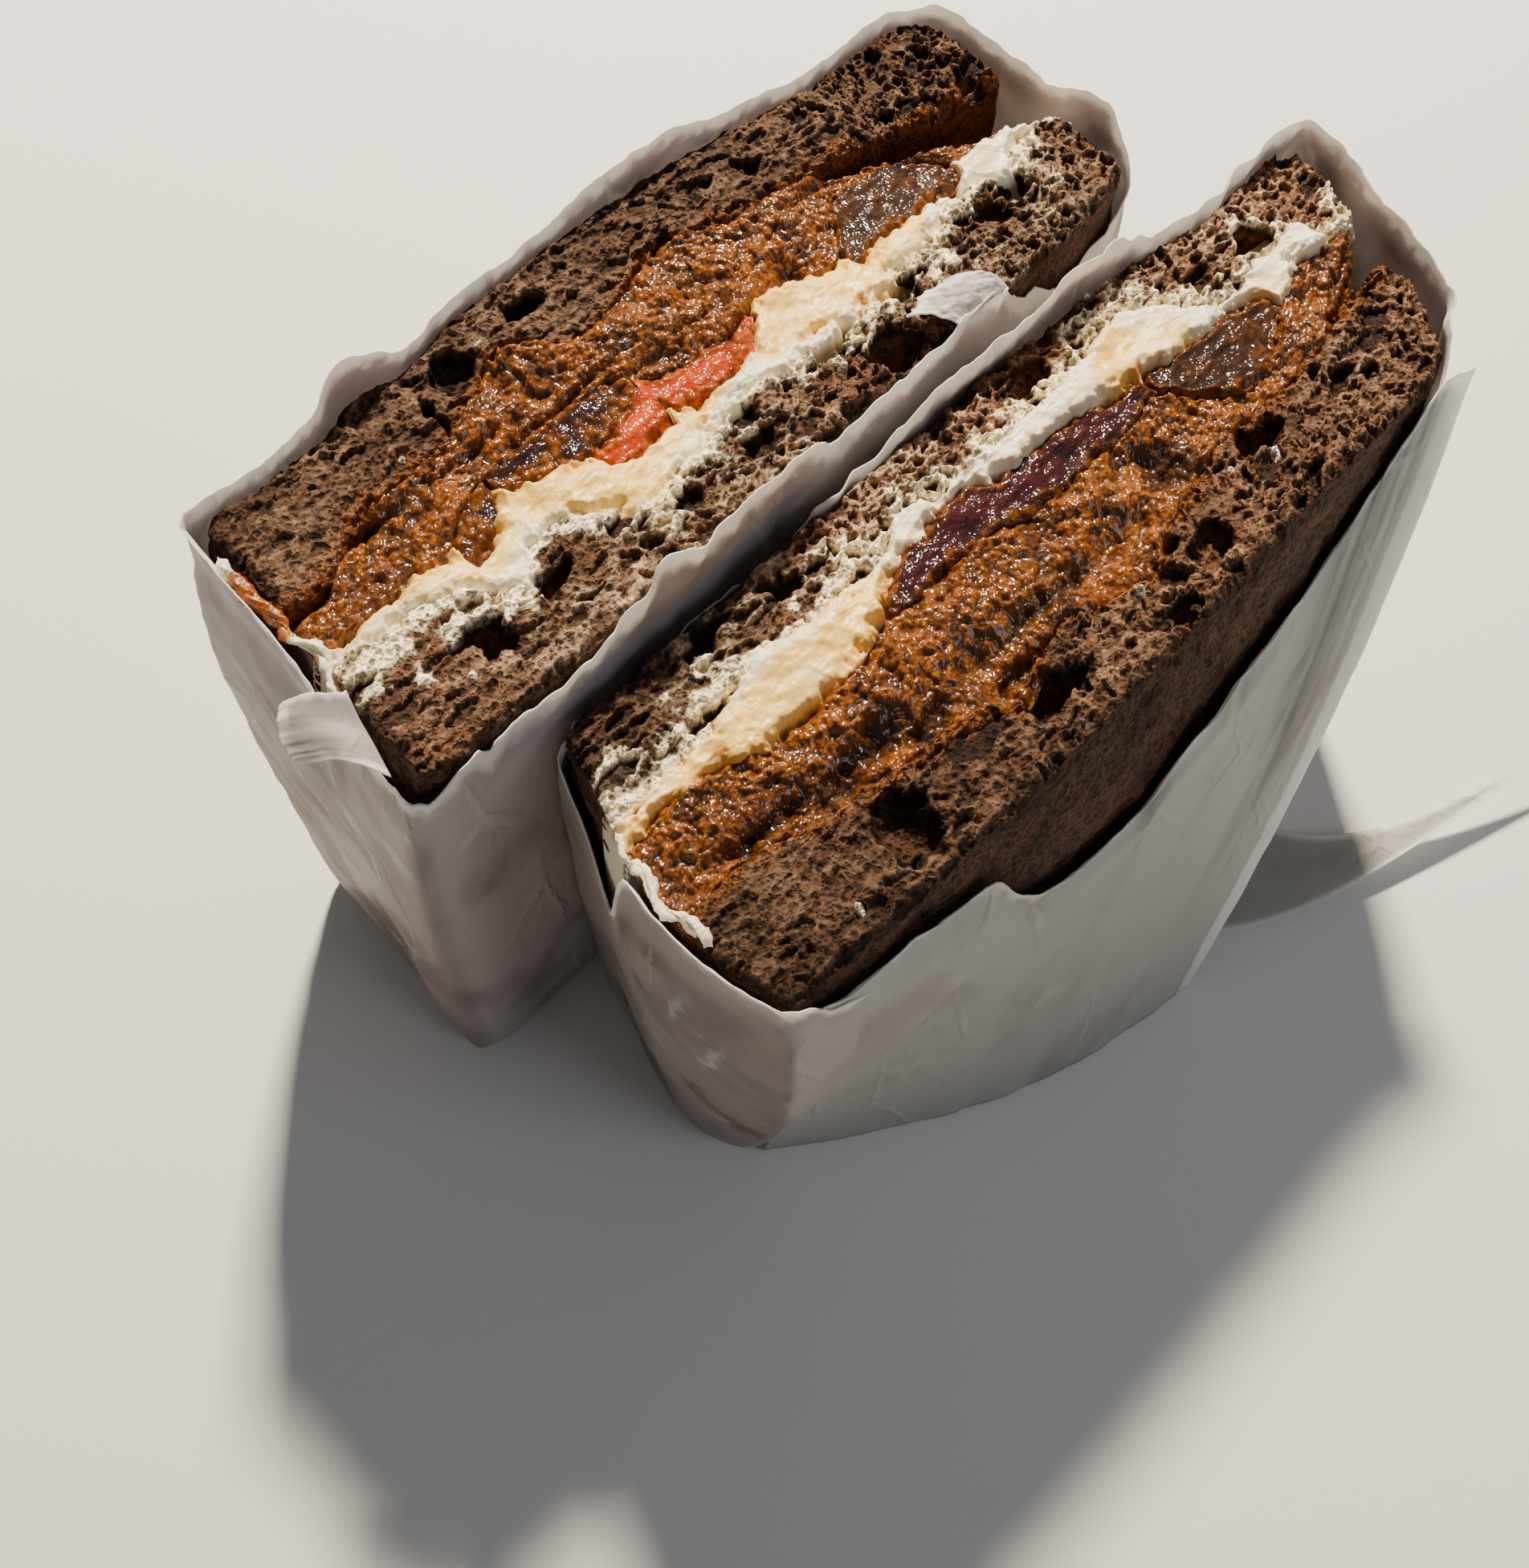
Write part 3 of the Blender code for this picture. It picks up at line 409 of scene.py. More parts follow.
def paint(mesh, tint, wet):
    """Stores each point's colour and its wetness for the material."""
    colour = mesh.attributes.new("tint", "FLOAT_COLOR", "POINT")
    flat = np.concatenate([np.clip(tint, 0, 1), np.ones((len(tint), 1))], axis=1)
    colour.data.foreach_set("color", flat.astype(np.float32).reshape(-1))
    gloss = mesh.attributes.new("wet", "FLOAT", "POINT")
    gloss.data.foreach_set("value", np.asarray(wet, np.float32))


def grid_quads(index):
    """Quads between the neighbours of a grid of point numbers."""
    corners = (index[:-1, :-1], index[1:, :-1], index[1:, 1:], index[:-1, 1:])
    return np.stack([c.reshape(-1) for c in corners], axis=1)


def food_piece(name, half, grid, height, tint, wet, walls, material, depths=FILLING_DEPTHS, craggy=0.0):
    """A closed piece of food: its cut face from a grid of heights, walls that fall from its rim
    in rings, each as far in as the crust's rounding and craggy by that much, and a flat foot. A
    craggy wall's wetness falls to -1, which tells the crumb that it is crust there.
    walls gives the colour towards the low seam, towards the high seam and at the ends."""
    x, v = grid
    points = settle(half, x, v, height).reshape(-1, 3)
    index = np.arange(x.size).reshape(x.shape)
    quads = [grid_quads(index)]
    rim = np.concatenate([index[:-1, 0], index[-1, :-1], index[:0:-1, -1], index[0, :0:-1]])
    side = np.zeros(len(rim), int)
    starts = np.cumsum([0, x.shape[0] - 1, x.shape[1] - 1, x.shape[0] - 1])
    for number, start in zip((0, 2, 1, 2), starts):
        side[start:] = number
    side_colour = np.array(walls)[side]
    rim_x, rim_v, rim_z = x.reshape(-1)[rim], v.reshape(-1)[rim], height.reshape(-1)[rim]
    rim_tint, rim_wet = tint.reshape(-1, 3)[rim], wet.reshape(-1)[rim]
    run = np.concatenate([[0], np.cumsum(np.hypot(np.diff(rim_x), np.diff(rim_v)))])
    inward = np.hypot(rim_x / HALF_LENGTH, rim_v / HALF_THICKNESS)
    tall = CUT_HEIGHT[half] - CRUST_LIFT
    above = rim
    points, tints, wets = [points], [tint.reshape(-1, 3)], [wet.reshape(-1)]
    for depth in depths + (tall,):
        near_foot = np.clip((depth - (tall - CRUST_RADIUS)) / CRUST_RADIUS, 0, 1) ** 2
        z = -depth + np.clip(rim_z, -4, 1) * math.exp(-depth / 4)
        level = np.full_like(run, depth)
        dent = rugged(run / 2.5, level, 2.0, 201) + 0.6 * rough(run / 2, level, 1.0, 205) - 0.6
        dent = craggy * np.minimum(depth, 1) * dent
        ring = settle(half, rim_x * (1 - CRUST_INSET[0] * near_foot) + dent * rim_x / HALF_LENGTH / inward,
                      rim_v * (1 - CRUST_INSET[1] * near_foot) + dent * rim_v / HALF_THICKNESS / inward, z)
        if depth == tall:
            ring[:, 2] = CRUST_LIFT
        below = np.arange(len(rim)) + sum(len(p) for p in points)
        quads.append(np.stack([above, below, np.roll(below, -1), np.roll(above, -1)], axis=1))
        points.append(ring)
        share = ease(0, 2.5, depth)
        mottled = side_colour * (1 + 1.8 * craggy * rugged(run / 3, level, 1.6, 209))[:, None]
        tints.append(rim_tint + (mottled - rim_tint) * share)
        wets.append(rim_wet * (1 - share) - (share if craggy else 0))
        above = below
    quads = np.vstack(quads)
    foot = above[::-1]
    if OUTER[half] < 0:
        quads, foot = quads[:, ::-1], above
    mesh = write_mesh(name, np.vstack(points), quads, [foot])
    paint(mesh, np.vstack(tints), np.concatenate(wets))
    mesh.materials.append(material)
    return scene_object(name, mesh)


def crumb_relief(half, x, v, dragged):
    """Cut crumb: open pores of three sizes with thin walls between them, on shallow crags, with
    the large holes sunk in, all on warped coordinates so that nothing is round. Returns the
    height, how far each point lies down in a pore, and the fine grain."""
    warp_x = x + 0.6 * rough(x, v, 1.6, 51) + 0.35 * rough(x, v, 0.7, 53)
    warp_v = v + 0.5 * rough(x, v, 1.4, 52) + 0.3 * rough(x, v, 0.7, 54)
    stretch = PORE_STRETCH + 1.3 * dragged
    pit = np.zeros_like(x)
    for size, share, depth, wall, seed in PORES:
        nearest, second, number = cells(warp_x / stretch, warp_v, size, seed)
        hole = depth * (0.5 + 0.5 * number / share) * ease(0.06, wall, second - nearest)
        pit = np.maximum(pit, hole * (number < share) * (1 - 0.5 * dragged))
    craggy = 0.45 * rough(x, v, 5.0, 3) + 0.3 * rough(x, v, 2.5, 4) - 0.3
    for hole_x, hole_v, length, width, depth in HOLES[half]:
        far_x = warp_x + 1.1 * rough(x, v, 2.6, 55) - hole_x
        far_v = warp_v + 1.1 * rough(x, v, 2.6, 56) - hole_v
        reach = (far_x / length) ** 2 + (far_v / width) ** 2
        hole = 0.7 * depth * np.exp(-np.minimum(1.1 * reach, 9) ** 2.2)
        pit = np.maximum(pit, hole) + 0.4 * np.minimum(pit, hole)
    grain = 0.18 * rugged(x / stretch, v, 0.9, 71) + 0.08 * rough(x, v, 0.4, 72)
    return craggy + grain - pit, pit, grain


# Flecks of cream on the crumb: x, v, radius
FLECKS = {
    "left": ((-56, -11.8, 1.3), (-52.5, -15.5, 0.6), (-20, 19, 0.5), (-38, 13, 0.4)),
    "right": ((-52, 17.5, 0.5), (30, 12, 0.7), (24, 9.5, 0.5), (2, 13, 0.6)),
}


def crumb_face(half, which):
    """Heights, colours and wetness of a slice's cut face, and the grid they lie on."""
    if which == "outer":
        low, high, over = BREAD_TO_SPREAD[half], BREAD_OUTSIDE[half], (0.9, 0)
    else:
        low, high, over = BREAD_INSIDE[half], CREAM_TO_BREAD[half], (0, 1.9)
    x, v, in_low, in_high, ends = layer(low, high, NEAR_END[half], FAR_END[half], over)
    dragged = DRAGGED[f"{which}_{half}"](x)
    height, pit, grain = crumb_relief(half, x, v, dragged)
    filling, crust = (in_low, in_high) if which == "outer" else (in_high, in_low)
    frayed = rugged(x, v, 1.8, 81)
    seam = filling + 1.1 * rugged(x, v, 3.4, 86)
    height = height - 0.3 * ease(0.7, -0.1, seam) - 2.6 * ease(0.2, -1.9, seam)
    height = height - 0.8 * ease(0.8, 0, np.minimum(crust, ends) + 0.4 * frayed)
    patch = rugged(x, v, 11.0, 82)
    tint = blend(CRUMB, CRUMB_LIGHT, ease(-0.2, 0.55, grain * 1.8 + 0.25 * patch + 0.25 * dragged - 0.1))
    tint = blend(tint, CRUMB_RED, 0.6 * ease(0.1, 0.8, rugged(x, v, 6.0, 83)))
    # Painted shade: the crumb darkens as it goes down into its pores and holes
    tint = blend(tint, CRUMB_PORE_SHADE, ease(0.2, 1.5, pit))
    tint = blend(tint, CRUMB_RED, 0.7 * ease(2.0, 3.2, pit))
    tint = blend(tint, CRUST, 0.8 * ease(1.2, 0.1, np.minimum(crust, ends) + 0.5 * frayed))
    # Each slice's tone over x, with painted shade at the right inner slice's near end
    tint = tint * SLICE_TONE_AND_SHADE[f"{which}_{half}"](x)[..., None]
    if which == "outer":
        reach = 2.4 + 1.8 * rough(x, 0 * v, 9.0, 84)
        stain = ease(0.2, 1.0, 1.1 - filling / reach + 0.6 * frayed)
        tint = blend(tint, SPREAD_STAIN, 0.85 * stain * ease(2.5, 0.6, pit))
        wet = stain
    else:
        reach = 4.2 + 3.6 * rough(x, 0 * v, 7.0, 85)
        coat = 1.05 - filling / reach + 0.9 * frayed + 0.5 * ease(-0.2, 0.3, grain)
        coat = ease(0.4, 0.8, coat) * ease(1.3, 0.5, pit)
        film = 0.3 * ease(-0.2, 0.25, grain) * ease(1.0, 0.3, pit) * ease(-58, -40, x) * ease(62, 50, x)
        tint = blend(tint, CREAM_STAIN, np.maximum(0.9 * coat, film * ease(-0.4, 0.4, patch)))
        height = height + 0.3 * coat
        wet = 0.2 * coat
    for at_x, at_v, radius in FLECKS[half]:
        away = np.hypot(x - at_x, v - at_v) / radius + 0.5 * rough(x, v, 0.8, 87)
        height = height + 0.6 * ease(1.0, 0.3, away) * ease(2.0, 0.5, pit)
        tint = blend(tint, CREAM_STAIN * 1.1, ease(1.0, 0.7, away))
    return (x, v), height, tint, wet


def mapped(tree, value, low, high, start, stop, ramp="SMOOTHSTEP"):
    """A value between low and high turned into one between start and stop, smoothly or straight."""
    new = node(tree, "ShaderNodeMapRange", {"Value": value, "From Min": low, "From Max": high,
                                            "To Min": start, "To Max": stop},
               interpolation_type=ramp)
    return new.outputs["Result"]


def noise(tree, place, size, detail=2.0, roughness=0.5):
    """Cloudy random tones with spots of the given size."""
    return node(tree, "ShaderNodeTexNoise", {"Vector": place, "Scale": 1 / (size * MM), "Detail": detail,
                                             "Roughness": roughness}).outputs


def grains_of(tree, place, size, feature="F1"):
    """The distance to the nearest of many random points, or to the edge between two of them."""
    return node(tree, "ShaderNodeTexVoronoi", {"Vector": place, "Scale": 1 / (size * MM)},
                feature=feature).outputs["Distance"]


def bumped(tree, height, strength, distance):
    """The surface's normal, bent by a height of the given size."""
    return node(tree, "ShaderNodeBump", {"Height": height, "Strength": strength,
                                         "Distance": distance * MM}).outputs["Normal"]


def warped(tree, place, clouds, size):
    """A place moved by the colours of a noise, by up to the given size."""
    return node(tree, "ShaderNodeVectorMath", {0: clouds["Color"], 1: (size * MM,) * 3, 2: place},
                operation="MULTIPLY_ADD").outputs["Vector"]


def summed(tree, first, factor, second):
    """The first value times a factor, plus the second one."""
    return node(tree, "ShaderNodeMath", {0: first, 1: factor, 2: second},
                operation="MULTIPLY_ADD").outputs["Value"]


def combined(tree, operation, first, second):
    """Two values joined by an arithmetic operation."""
    return node(tree, "ShaderNodeMath", {0: first, 1: second}, operation=operation).outputs["Value"]


def point_inputs(tree):
    """What a material reads at each point: its colour, its wetness and its place."""
    tint = node(tree, "ShaderNodeAttribute", attribute_name="tint").outputs["Color"]
    wet = node(tree, "ShaderNodeAttribute", attribute_name="wet").outputs["Fac"]
    return tint, wet, node(tree, "ShaderNodeTexCoord").outputs["Object"]


def shaded(tree, tint, shade):
    """A colour made lighter or darker by a factor."""
    return node(tree, "ShaderNodeVectorMath", {0: tint, 1: shade}, operation="MULTIPLY").outputs["Vector"]


# Rye crumb: matt and porous, with small pores painted dark as shade between thin walls painted
# lighter, and a fine grain of bran
rye_crumb, tree = new_material("rye_crumb")
tint_in, wet_in, place = point_inputs(tree)
bent = warped(tree, place, noise(tree, place, 1.3, 3.0), 0.9)
bran = noise(tree, place, 0.6, 5.0, 0.7)["Fac"]
wide = grains_of(tree, bent, 1.25)
narrow = grains_of(tree, bent, 0.62)
pore_walls = combined(tree, "MULTIPLY", mapped(tree, wide, 0.22, 0.52, 0.3, 1.0),
                      mapped(tree, narrow, 0.2, 0.5, 0.55, 1.0))
on_crust = mapped(tree, wet_in, -0.9, -0.1, 0.4, 0.0)
pore_walls = combined(tree, "MAXIMUM", pore_walls, on_crust)
# Painted shade in the pores and painted light on the walls between them, times a random tone of bran
shade = combined(tree, "MULTIPLY", mapped(tree, pore_walls, 0.1, 1.0, 0.35, 1.6),
                 mapped(tree, bran, 0.3, 0.7, 0.55, 1.45))
colour = shaded(tree, tint_in, shade)
bump = bumped(tree, summed(tree, bran, 0.4, pore_walls), 0.8, 0.45)
surface(tree, Base_Color=colour, Roughness=mapped(tree, wet_in, 0, 1, 0.8, 0.3),
        Normal=bump, Specular_IOR_Level=0.15)

for half in ("left", "right"):
    for which in ("outer", "inner"):
        grid, height, tint, wet = crumb_face(half, which)
        # Walls: crust at the ends and on the flat sides; under the filling the stain is darkened, painted
        # shade for the gap between the layers
        stain_and_shade_walls = (SPREAD_STAIN * 0.5, CRUST, CRUST)
        walls = stain_and_shade_walls if which == "outer" else (CRUST, CREAM_STAIN * 0.6, CRUST)
        piece = food_piece(f"rye_slice_{which}_{half}", half, grid, height, tint, wet, walls, rye_crumb,
                           BREAD_DEPTHS, 0.45)
        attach(piece, "root")
        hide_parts(f"bread_{which}_{half}")


# The spread
# A thick layer of coarse orange-brown vegetable spread: wet grains and lumps pressed between the
# slices, glossy with oil, with crevices where it has torn open; painted light on the grains' tops,
# painted shade between them and in the crevices.

# The far end of each half's spread, as x
SPREAD_FAR_END = {"left": 57.8, "right": 65.6}
# The spread's colours: the light one is also the painted highlight on grain tops, the dark one the painted
# shade between grains, in crevices and on the walls
SPREAD, SPREAD_ORANGE_AND_HIGHLIGHT, SPREAD_SHADE, SPREAD_RED = (
    linear("#512b06"), linear("#8b4c0c"), linear("#1a0b02"), linear("#4a2004"))
# Crevices: x, v, half length, half width, depth
CREVICES = {
    "left": ((-48, 8.8, 7, 0.8, 2.4), (-32, 8.2, 8, 0.7, 1.6), (-18, 5.8, 12, 0.7, 1.6),
             (2, 4, 7, 0.7, 1.5), (17.5, 1, 2.4, 3, 2.0), (-5, 3, 4.5, 2, 1.4), (30, 8, 6, 0.8, 1.6)),
    "right": ((-51, 2.8, 10, 1.3, 2.6), (-38, 4.4, 9, 1.9, 3.2), (-29, 6.6, 5, 1.6, 2.6),
              (-7, 5.6, 14, 1.3, 2.2), (18.5, 3.2, 3.6, 3.2, 3.4), (-14, 9.5, 8, 0.8, 1.8),
              (4, 6.5, 3, 1.2, 1.6)),
}
# Grains of the spread: size, height, seed
GRAINS = ((3.0, 0.75, 91), (1.4, 0.95, 92), (0.75, 0.5, 93))


def spread_face(half):
    """Round grains of three sizes on slow lumps, sunk along the crevices; painted light on the tops,
    painted shade between the grains and in the crevices."""
    def low(x):
        return SPREAD_INSIDE[half](x)

    def high(x):
        return BREAD_TO_SPREAD[half](x) - GAPE[half](x) - skin_thickness(half, x)

    x, v, in_low, in_high, ends = layer(low, high, NEAR_END[half], SPREAD_FAR_END[half], (0.9, 0.9))
    warp_x, warp_v = x + 0.5 * rough(x, v, 2.0, 95), v + 0.5 * rough(x, v, 2.0, 96)
    lumps = np.zeros_like(x)
    tone = np.zeros_like(x)
    for size, tall, seed in GRAINS:
        away, _, number = cells(warp_x, warp_v, size, seed)
        lumps = lumps + tall * (0.35 + 0.65 * number) * (1 - (away / 0.75) ** 2)
        tone = tone + (number - 0.5) * size
    height = -1.5 + 1.2 * rough(x, v, 7.0, 11) + 0.8 * rough(x, v, 3.2, 12) + 0.75 * lumps
    crevice = np.zeros_like(x)
    for at_x, at_v, length, width, depth in CREVICES[half]:
        reach = ((warp_x - at_x) / length) ** 2 + ((warp_v - at_v) / width) ** 2
        crevice = np.maximum(crevice, depth * np.exp(-np.minimum(reach, 9)))
    edge = np.minimum(np.minimum(in_low, in_high), ends) + 0.9 * rugged(x, v, 2.4, 97)
    height = height - crevice - 2.0 * ease(0.4, -1.2, edge)
    # Painted light: the tops of the grains are lighter, with a random tone for each grain
    tint = blend(SPREAD, SPREAD_ORANGE_AND_HIGHLIGHT, ease(0.2, 1.2, lumps + 0.25 * tone))
    tint = blend(tint, SPREAD_RED, 0.7 * ease(0.25, 0.9, rugged(x, v, 4.5, 98) + 0.2 * tone))
    # Painted shade between the grains and in the crevices
    tint = blend(tint, SPREAD_SHADE, 0.85 * ease(0.5, -0.6, lumps))
    tint = blend(tint, SPREAD_SHADE, 0.8 * ease(0.4, 2.2, crevice))
    wet = ease(-0.4, 0.8, lumps + rugged(x, v, 3.0, 99))
    return (x, v), np.clip(height, -7, 1.4), tint, wet


# The strip of skin: its middle and half its length over x, its thickness at the tips, and how
# much thicker it is in the middle
SKIN_MIDDLE, SKIN_REACH = 58.8, 6.8
SKIN_TIP, SKIN_SWELL = 0.8, 1.0


def skin_thickness(half, x):
    """Room that the strip of dark skin takes between the right half's spread and outer slice."""
    if half == "left":
        return np.zeros_like(x)
    u = np.clip(np.abs(x - SKIN_MIDDLE) / SKIN_REACH, 0, 1)
    return np.where(u < 1, SKIN_TIP + SKIN_SWELL * (1 - u * u) ** 0.6, 0)


# Oily vegetable puree: saturated, wet and slightly translucent, with sharp small highlights
oily_spread, tree = new_material("oily_vegetable_spread")
tint_in, wet_in, place = point_inputs(tree)
grit = noise(tree, place, 0.8, 5.0, 0.7)["Fac"]
grains = grains_of(tree, place, 0.55, "SMOOTH_F1")
# Painted light on the tops of the small grains and painted shade between them, times a random grit
shade = combined(tree, "MULTIPLY", mapped(tree, grit, 0.3, 0.7, 0.6, 1.4),
                 mapped(tree, grains, 0.1, 0.7, 1.25, 0.6))
colour = shaded(tree, tint_in, shade)
bump = bumped(tree, summed(tree, grains, -0.8, grit), 0.9, 0.35)
surface(tree, Base_Color=colour, Roughness=mapped(tree, wet_in, 0, 1, 0.6, 0.45),
        Normal=bump, Specular_IOR_Level=0.1, Subsurface_Weight=0.1,
        Subsurface_Radius=(1.0, 0.35, 0.1), Subsurface_Scale=1.0 * MM, Coat_Weight=1.0,
        Coat_Roughness=0.13)

for half in ("left", "right"):
    grid, height, tint, wet = spread_face(half)
    # The spread's walls lie in the gaps between the layers: painted shade
    walls = (SPREAD_SHADE, SPREAD_SHADE, SPREAD * 0.6)
    piece = food_piece(f"vegetable_spread_{half}", half, grid, height, tint, wet, walls, oily_spread)
    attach(piece, "root")
    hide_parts(f"spread_{half}")


# The roasted pieces
# Slices of roasted aubergine with purple skin, brown roasted slices and a strip of red pepper,
# pressed into the spread: soft, nearly flat, wet with oil, with fibres along them.

# The thickness of a piece at its tips
PIECE_TIP = 0.8
# From x, to x, thickness, band, height of the face, flesh and edge colours, and how much of the
# face the spread has smeared
ROASTED = {
    "left": {
        "aubergine_end": (-42.5, -33.0, 5.4, "slices", -1.0, "#220b0e", "#130507", 0.7),
        "aubergine_strip": (-33.0, -10.0, 6.6, "slices", -1.2, "#220b0c", "#120606", 0.8),
        "roast_slice": (24.5, 47.5, 8.8, "slices", -0.9, "#3a2416", "#150a08", 0.25),
        "red_pepper": (-21.5, 9.0, 6.0, "pepper", -0.9, "#b03a03", "#7a2403", 0.5),
    },
    "right": {
        "aubergine_strip": (-23.0, 26.5, 6.2, "slices", -0.8, "#330b13", "#150508", 0.15),
        "roast_slice": (26.5, 49.5, 8.4, "slices", -0.8, "#301c10", "#170b09", 0.25),
        "aubergine_skin": (52.0, 65.6, 1.8, "skin", -2.2, "#281614", "#140a08", 0.2),
    },
}


def lens(start, end, thickness, x):
    """Thickness of a piece over x: blunt in the middle and thin at its tips."""
    u = (x - (start + end) / 2) / ((end - start) / 2)
    return PIECE_TIP + (thickness - PIECE_TIP) * np.clip(1 - u * u, 0, 1) ** 0.6


def band_thickness(half, band, x):
    """Room that the pieces of a band take across the cut face at x."""
    total = np.zeros_like(x)
    for start, end, thickness, own_band, *_ in ROASTED[half].values():
        if own_band == band:
            inside = (x >= start) & (x <= end)
            total = np.maximum(total, np.where(inside, lens(start, end, thickness, x) + GAP, 0))
    return total


def band_seam(half, band):
    """The outer seam of a band of pieces."""
    def at(x):
        if band == "skin":
            return BREAD_TO_SPREAD[half](x) - GAPE[half](x)
        seam = SPREAD_INSIDE[half](x) - GAP
        return seam if band == "slices" else seam - band_thickness(half, "slices", x)

    return at


def roasted_face(half, start, end, thickness, band, level, flesh, edge, smeared):
    """A lens-shaped face: fine fibres along x and slow dents, with painted highlight on the raised
    fibres and dents and painted shade in the dents' hollows, a darker rim, and grains of spread that
    lie on it in patches and along its ragged rim, painted lighter at their tops."""
    high = band_seam(half, band)

    def low(x):
        return high(x) - lens(start, end, thickness, x)

    x, v, in_low, in_high, ends = layer(low, high, start + 0.3, end - 0.3, (0.7, 0.7))
    fibres = rugged(x / 3.0, v, 0.9, 101)
    dents = rugged(x, v, 3.5, 105)
    rim = np.minimum(np.minimum(in_low, in_high), ends) + 1.5 * rugged(x, v, 2.8, 107)
    height = level + 0.2 * fibres + 0.6 * dents - 1.4 * ease(0.7, -1.0, rim)
    flesh, edge = linear(flesh), linear(edge)
    # Painted highlight on the raised fibres and dents
    tint = blend(flesh, flesh * 1.6, ease(0.1, 0.8, fibres + 0.5 * dents))
    patches = ease(0.0, 0.5, rugged(x, v, 3.2, 109) + smeared - 0.4)
    patches = np.minimum(0.6 * ease(1.4, 0.2, rim) + smeared * patches, 0.9)
    away, _, number = cells(x + 0.3 * rough(x, v, 1.5, 106), v, 1.3, 108)
    height = height + patches * (0.9 * (0.4 + 0.6 * number) * (1 - (away / 0.75) ** 2) - 0.1)
    # Painted shade in the hollows of the dents
    tint = blend(tint, edge, ease(0.0, 0.9, -dents))
    tint = blend(tint, edge, 0.9 * ease(1.3, 0.3, in_high + 0.4 * dents))
    # Grains of spread, painted lighter at their tops
    tint = blend(tint, blend(SPREAD, SPREAD_ORANGE_AND_HIGHLIGHT, ease(0.6, 0.2, away)), patches)
    wet = 0.6 + 0.4 * dents
    return (x, v), height, tint, wet, (edge, edge, edge)


# Roasted vegetable flesh: wet, translucent and fibrous
roasted_flesh, tree = new_material("roasted_vegetable")
tint_in, wet_in, place = point_inputs(tree)
fibre = noise(tree, place, 0.5, 4.0, 0.7)["Fac"]
colour = shaded(tree, tint_in, mapped(tree, fibre, 0.3, 0.7, 0.7, 1.35, "LINEAR"))
beads = grains_of(tree, place, 0.45, "SMOOTH_F1")
surface(tree, Base_Color=colour, Roughness=mapped(tree, wet_in, 0, 1, 0.65, 0.5, "LINEAR"),
        Normal=bumped(tree, fibre, 0.9, 0.3), Specular_IOR_Level=0.08, Coat_Weight=0.5,
        Coat_Roughness=0.12, Coat_Normal=bumped(tree, beads, 0.7, 0.2))

for half, pieces in ROASTED.items():
    for kind, sizes in pieces.items():
        grid, height, tint, wet, walls = roasted_face(half, *sizes)
        piece = food_piece(f"{kind}_flesh_{half}", half, grid, height, tint, wet, walls, roasted_flesh)
        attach(piece, "root")
        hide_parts(f"{kind}_{half}")


# The cream cheese
# Soft white cream cheese, spread on the inner slices and squeezed out a little by the knife:
# ivory where oil has soaked in, white where it is thick, torn along its edges.

# The far end of each half's cream, as x
CREAM_FAR_END = {"left": 60.2, "right": 62.2}
CREAM_WHITE, CREAM_IVORY, CREAM_SHADE, CREAM_ORANGE = (
    linear("#fff5da"), linear("#ffd168"), linear("#d0a658"), linear("#c47a2c"))
# How ivory the cream is, over x
IVORY = {
    "left": curve((-64, 0.8), (-20, 0.75), (0, 0.6), (30, 0.8), (42, 0.25), (60, 0)),
    "right": curve((-68, 0.8), (-26, 0.8), (-12, 0.2), (20, 0.1), (24, 0.6), (34, 0.35), (62, 0.05)),
}
# Orange flecks of spread in the cream: x, v, radius
ORANGE_FLECKS = {"left": ((19.5, -9.5, 1.6), (26, -3.8, 1.6)),
                 "right": ((-27.3, -9.6, 1.6), (-0.7, -10.6, 1.2), (27, -8.5, 1.5), (-50, -7, 1.2))}


def cream_face(half):
    """Slow folds with creases between them, torn along the edges, with orange flecks; painted shade
    in the creases and along the sunk edges.
    """
    def low(x):
        return CREAM_TO_BREAD[half](x)

    def high(x):
        return band_seam(half, "pepper")(x) - band_thickness(half, "pepper", x)

    x, v, in_low, in_high, ends = layer(low, high, NEAR_END[half], CREAM_FAR_END[half], (2.0, 0.9))
    folds = 1 - np.abs(rugged(x / 1.6, v, 4.0, 111)) * 2
    torn = rugged(x, v, 1.7, 115)
    edge = np.minimum(np.minimum(in_low, in_high), ends) + 1.2 * torn + 1.2 * rough(x, v, 4.0, 119)
    height = 0.8 * rough(x, v, 6.0, 21) + 0.5 * folds + 0.15 * torn
    height = height - 3.2 * ease(1.6, -1.8, edge)
    ivory = IVORY[half](x) + 0.45 * rugged(x, v, 7.0, 116) - 0.5 * ease(3.0, 0.5, in_low)
    tint = blend(CREAM_WHITE, CREAM_IVORY, ease(0, 0.7, ivory))
    # Painted shade in the creases between the folds
    tint = blend(tint, CREAM_SHADE, 0.5 * ease(0.1, -0.9, folds))
    tint = blend(tint, CREAM_ORANGE, 0.45 * ease(1.4, 0, in_high + 0.8 * torn) * ease(-0.2, 0.5, ivory))
    # Painted shade where the torn edges sink away
    tint = blend(tint, CREAM_SHADE * 0.5, 0.8 * ease(0.3, -0.8, edge))
    for at_x, at_v, radius in ORANGE_FLECKS[half]:
        away = np.hypot(x - at_x, v - at_v) / radius + 0.6 * torn
        tint = blend(tint, CREAM_ORANGE, 0.7 * ease(1.1, 0.3, away))
    return (x, v), np.clip(height, -6, 1.6), tint, ease(0, 1, 0.4 + torn)


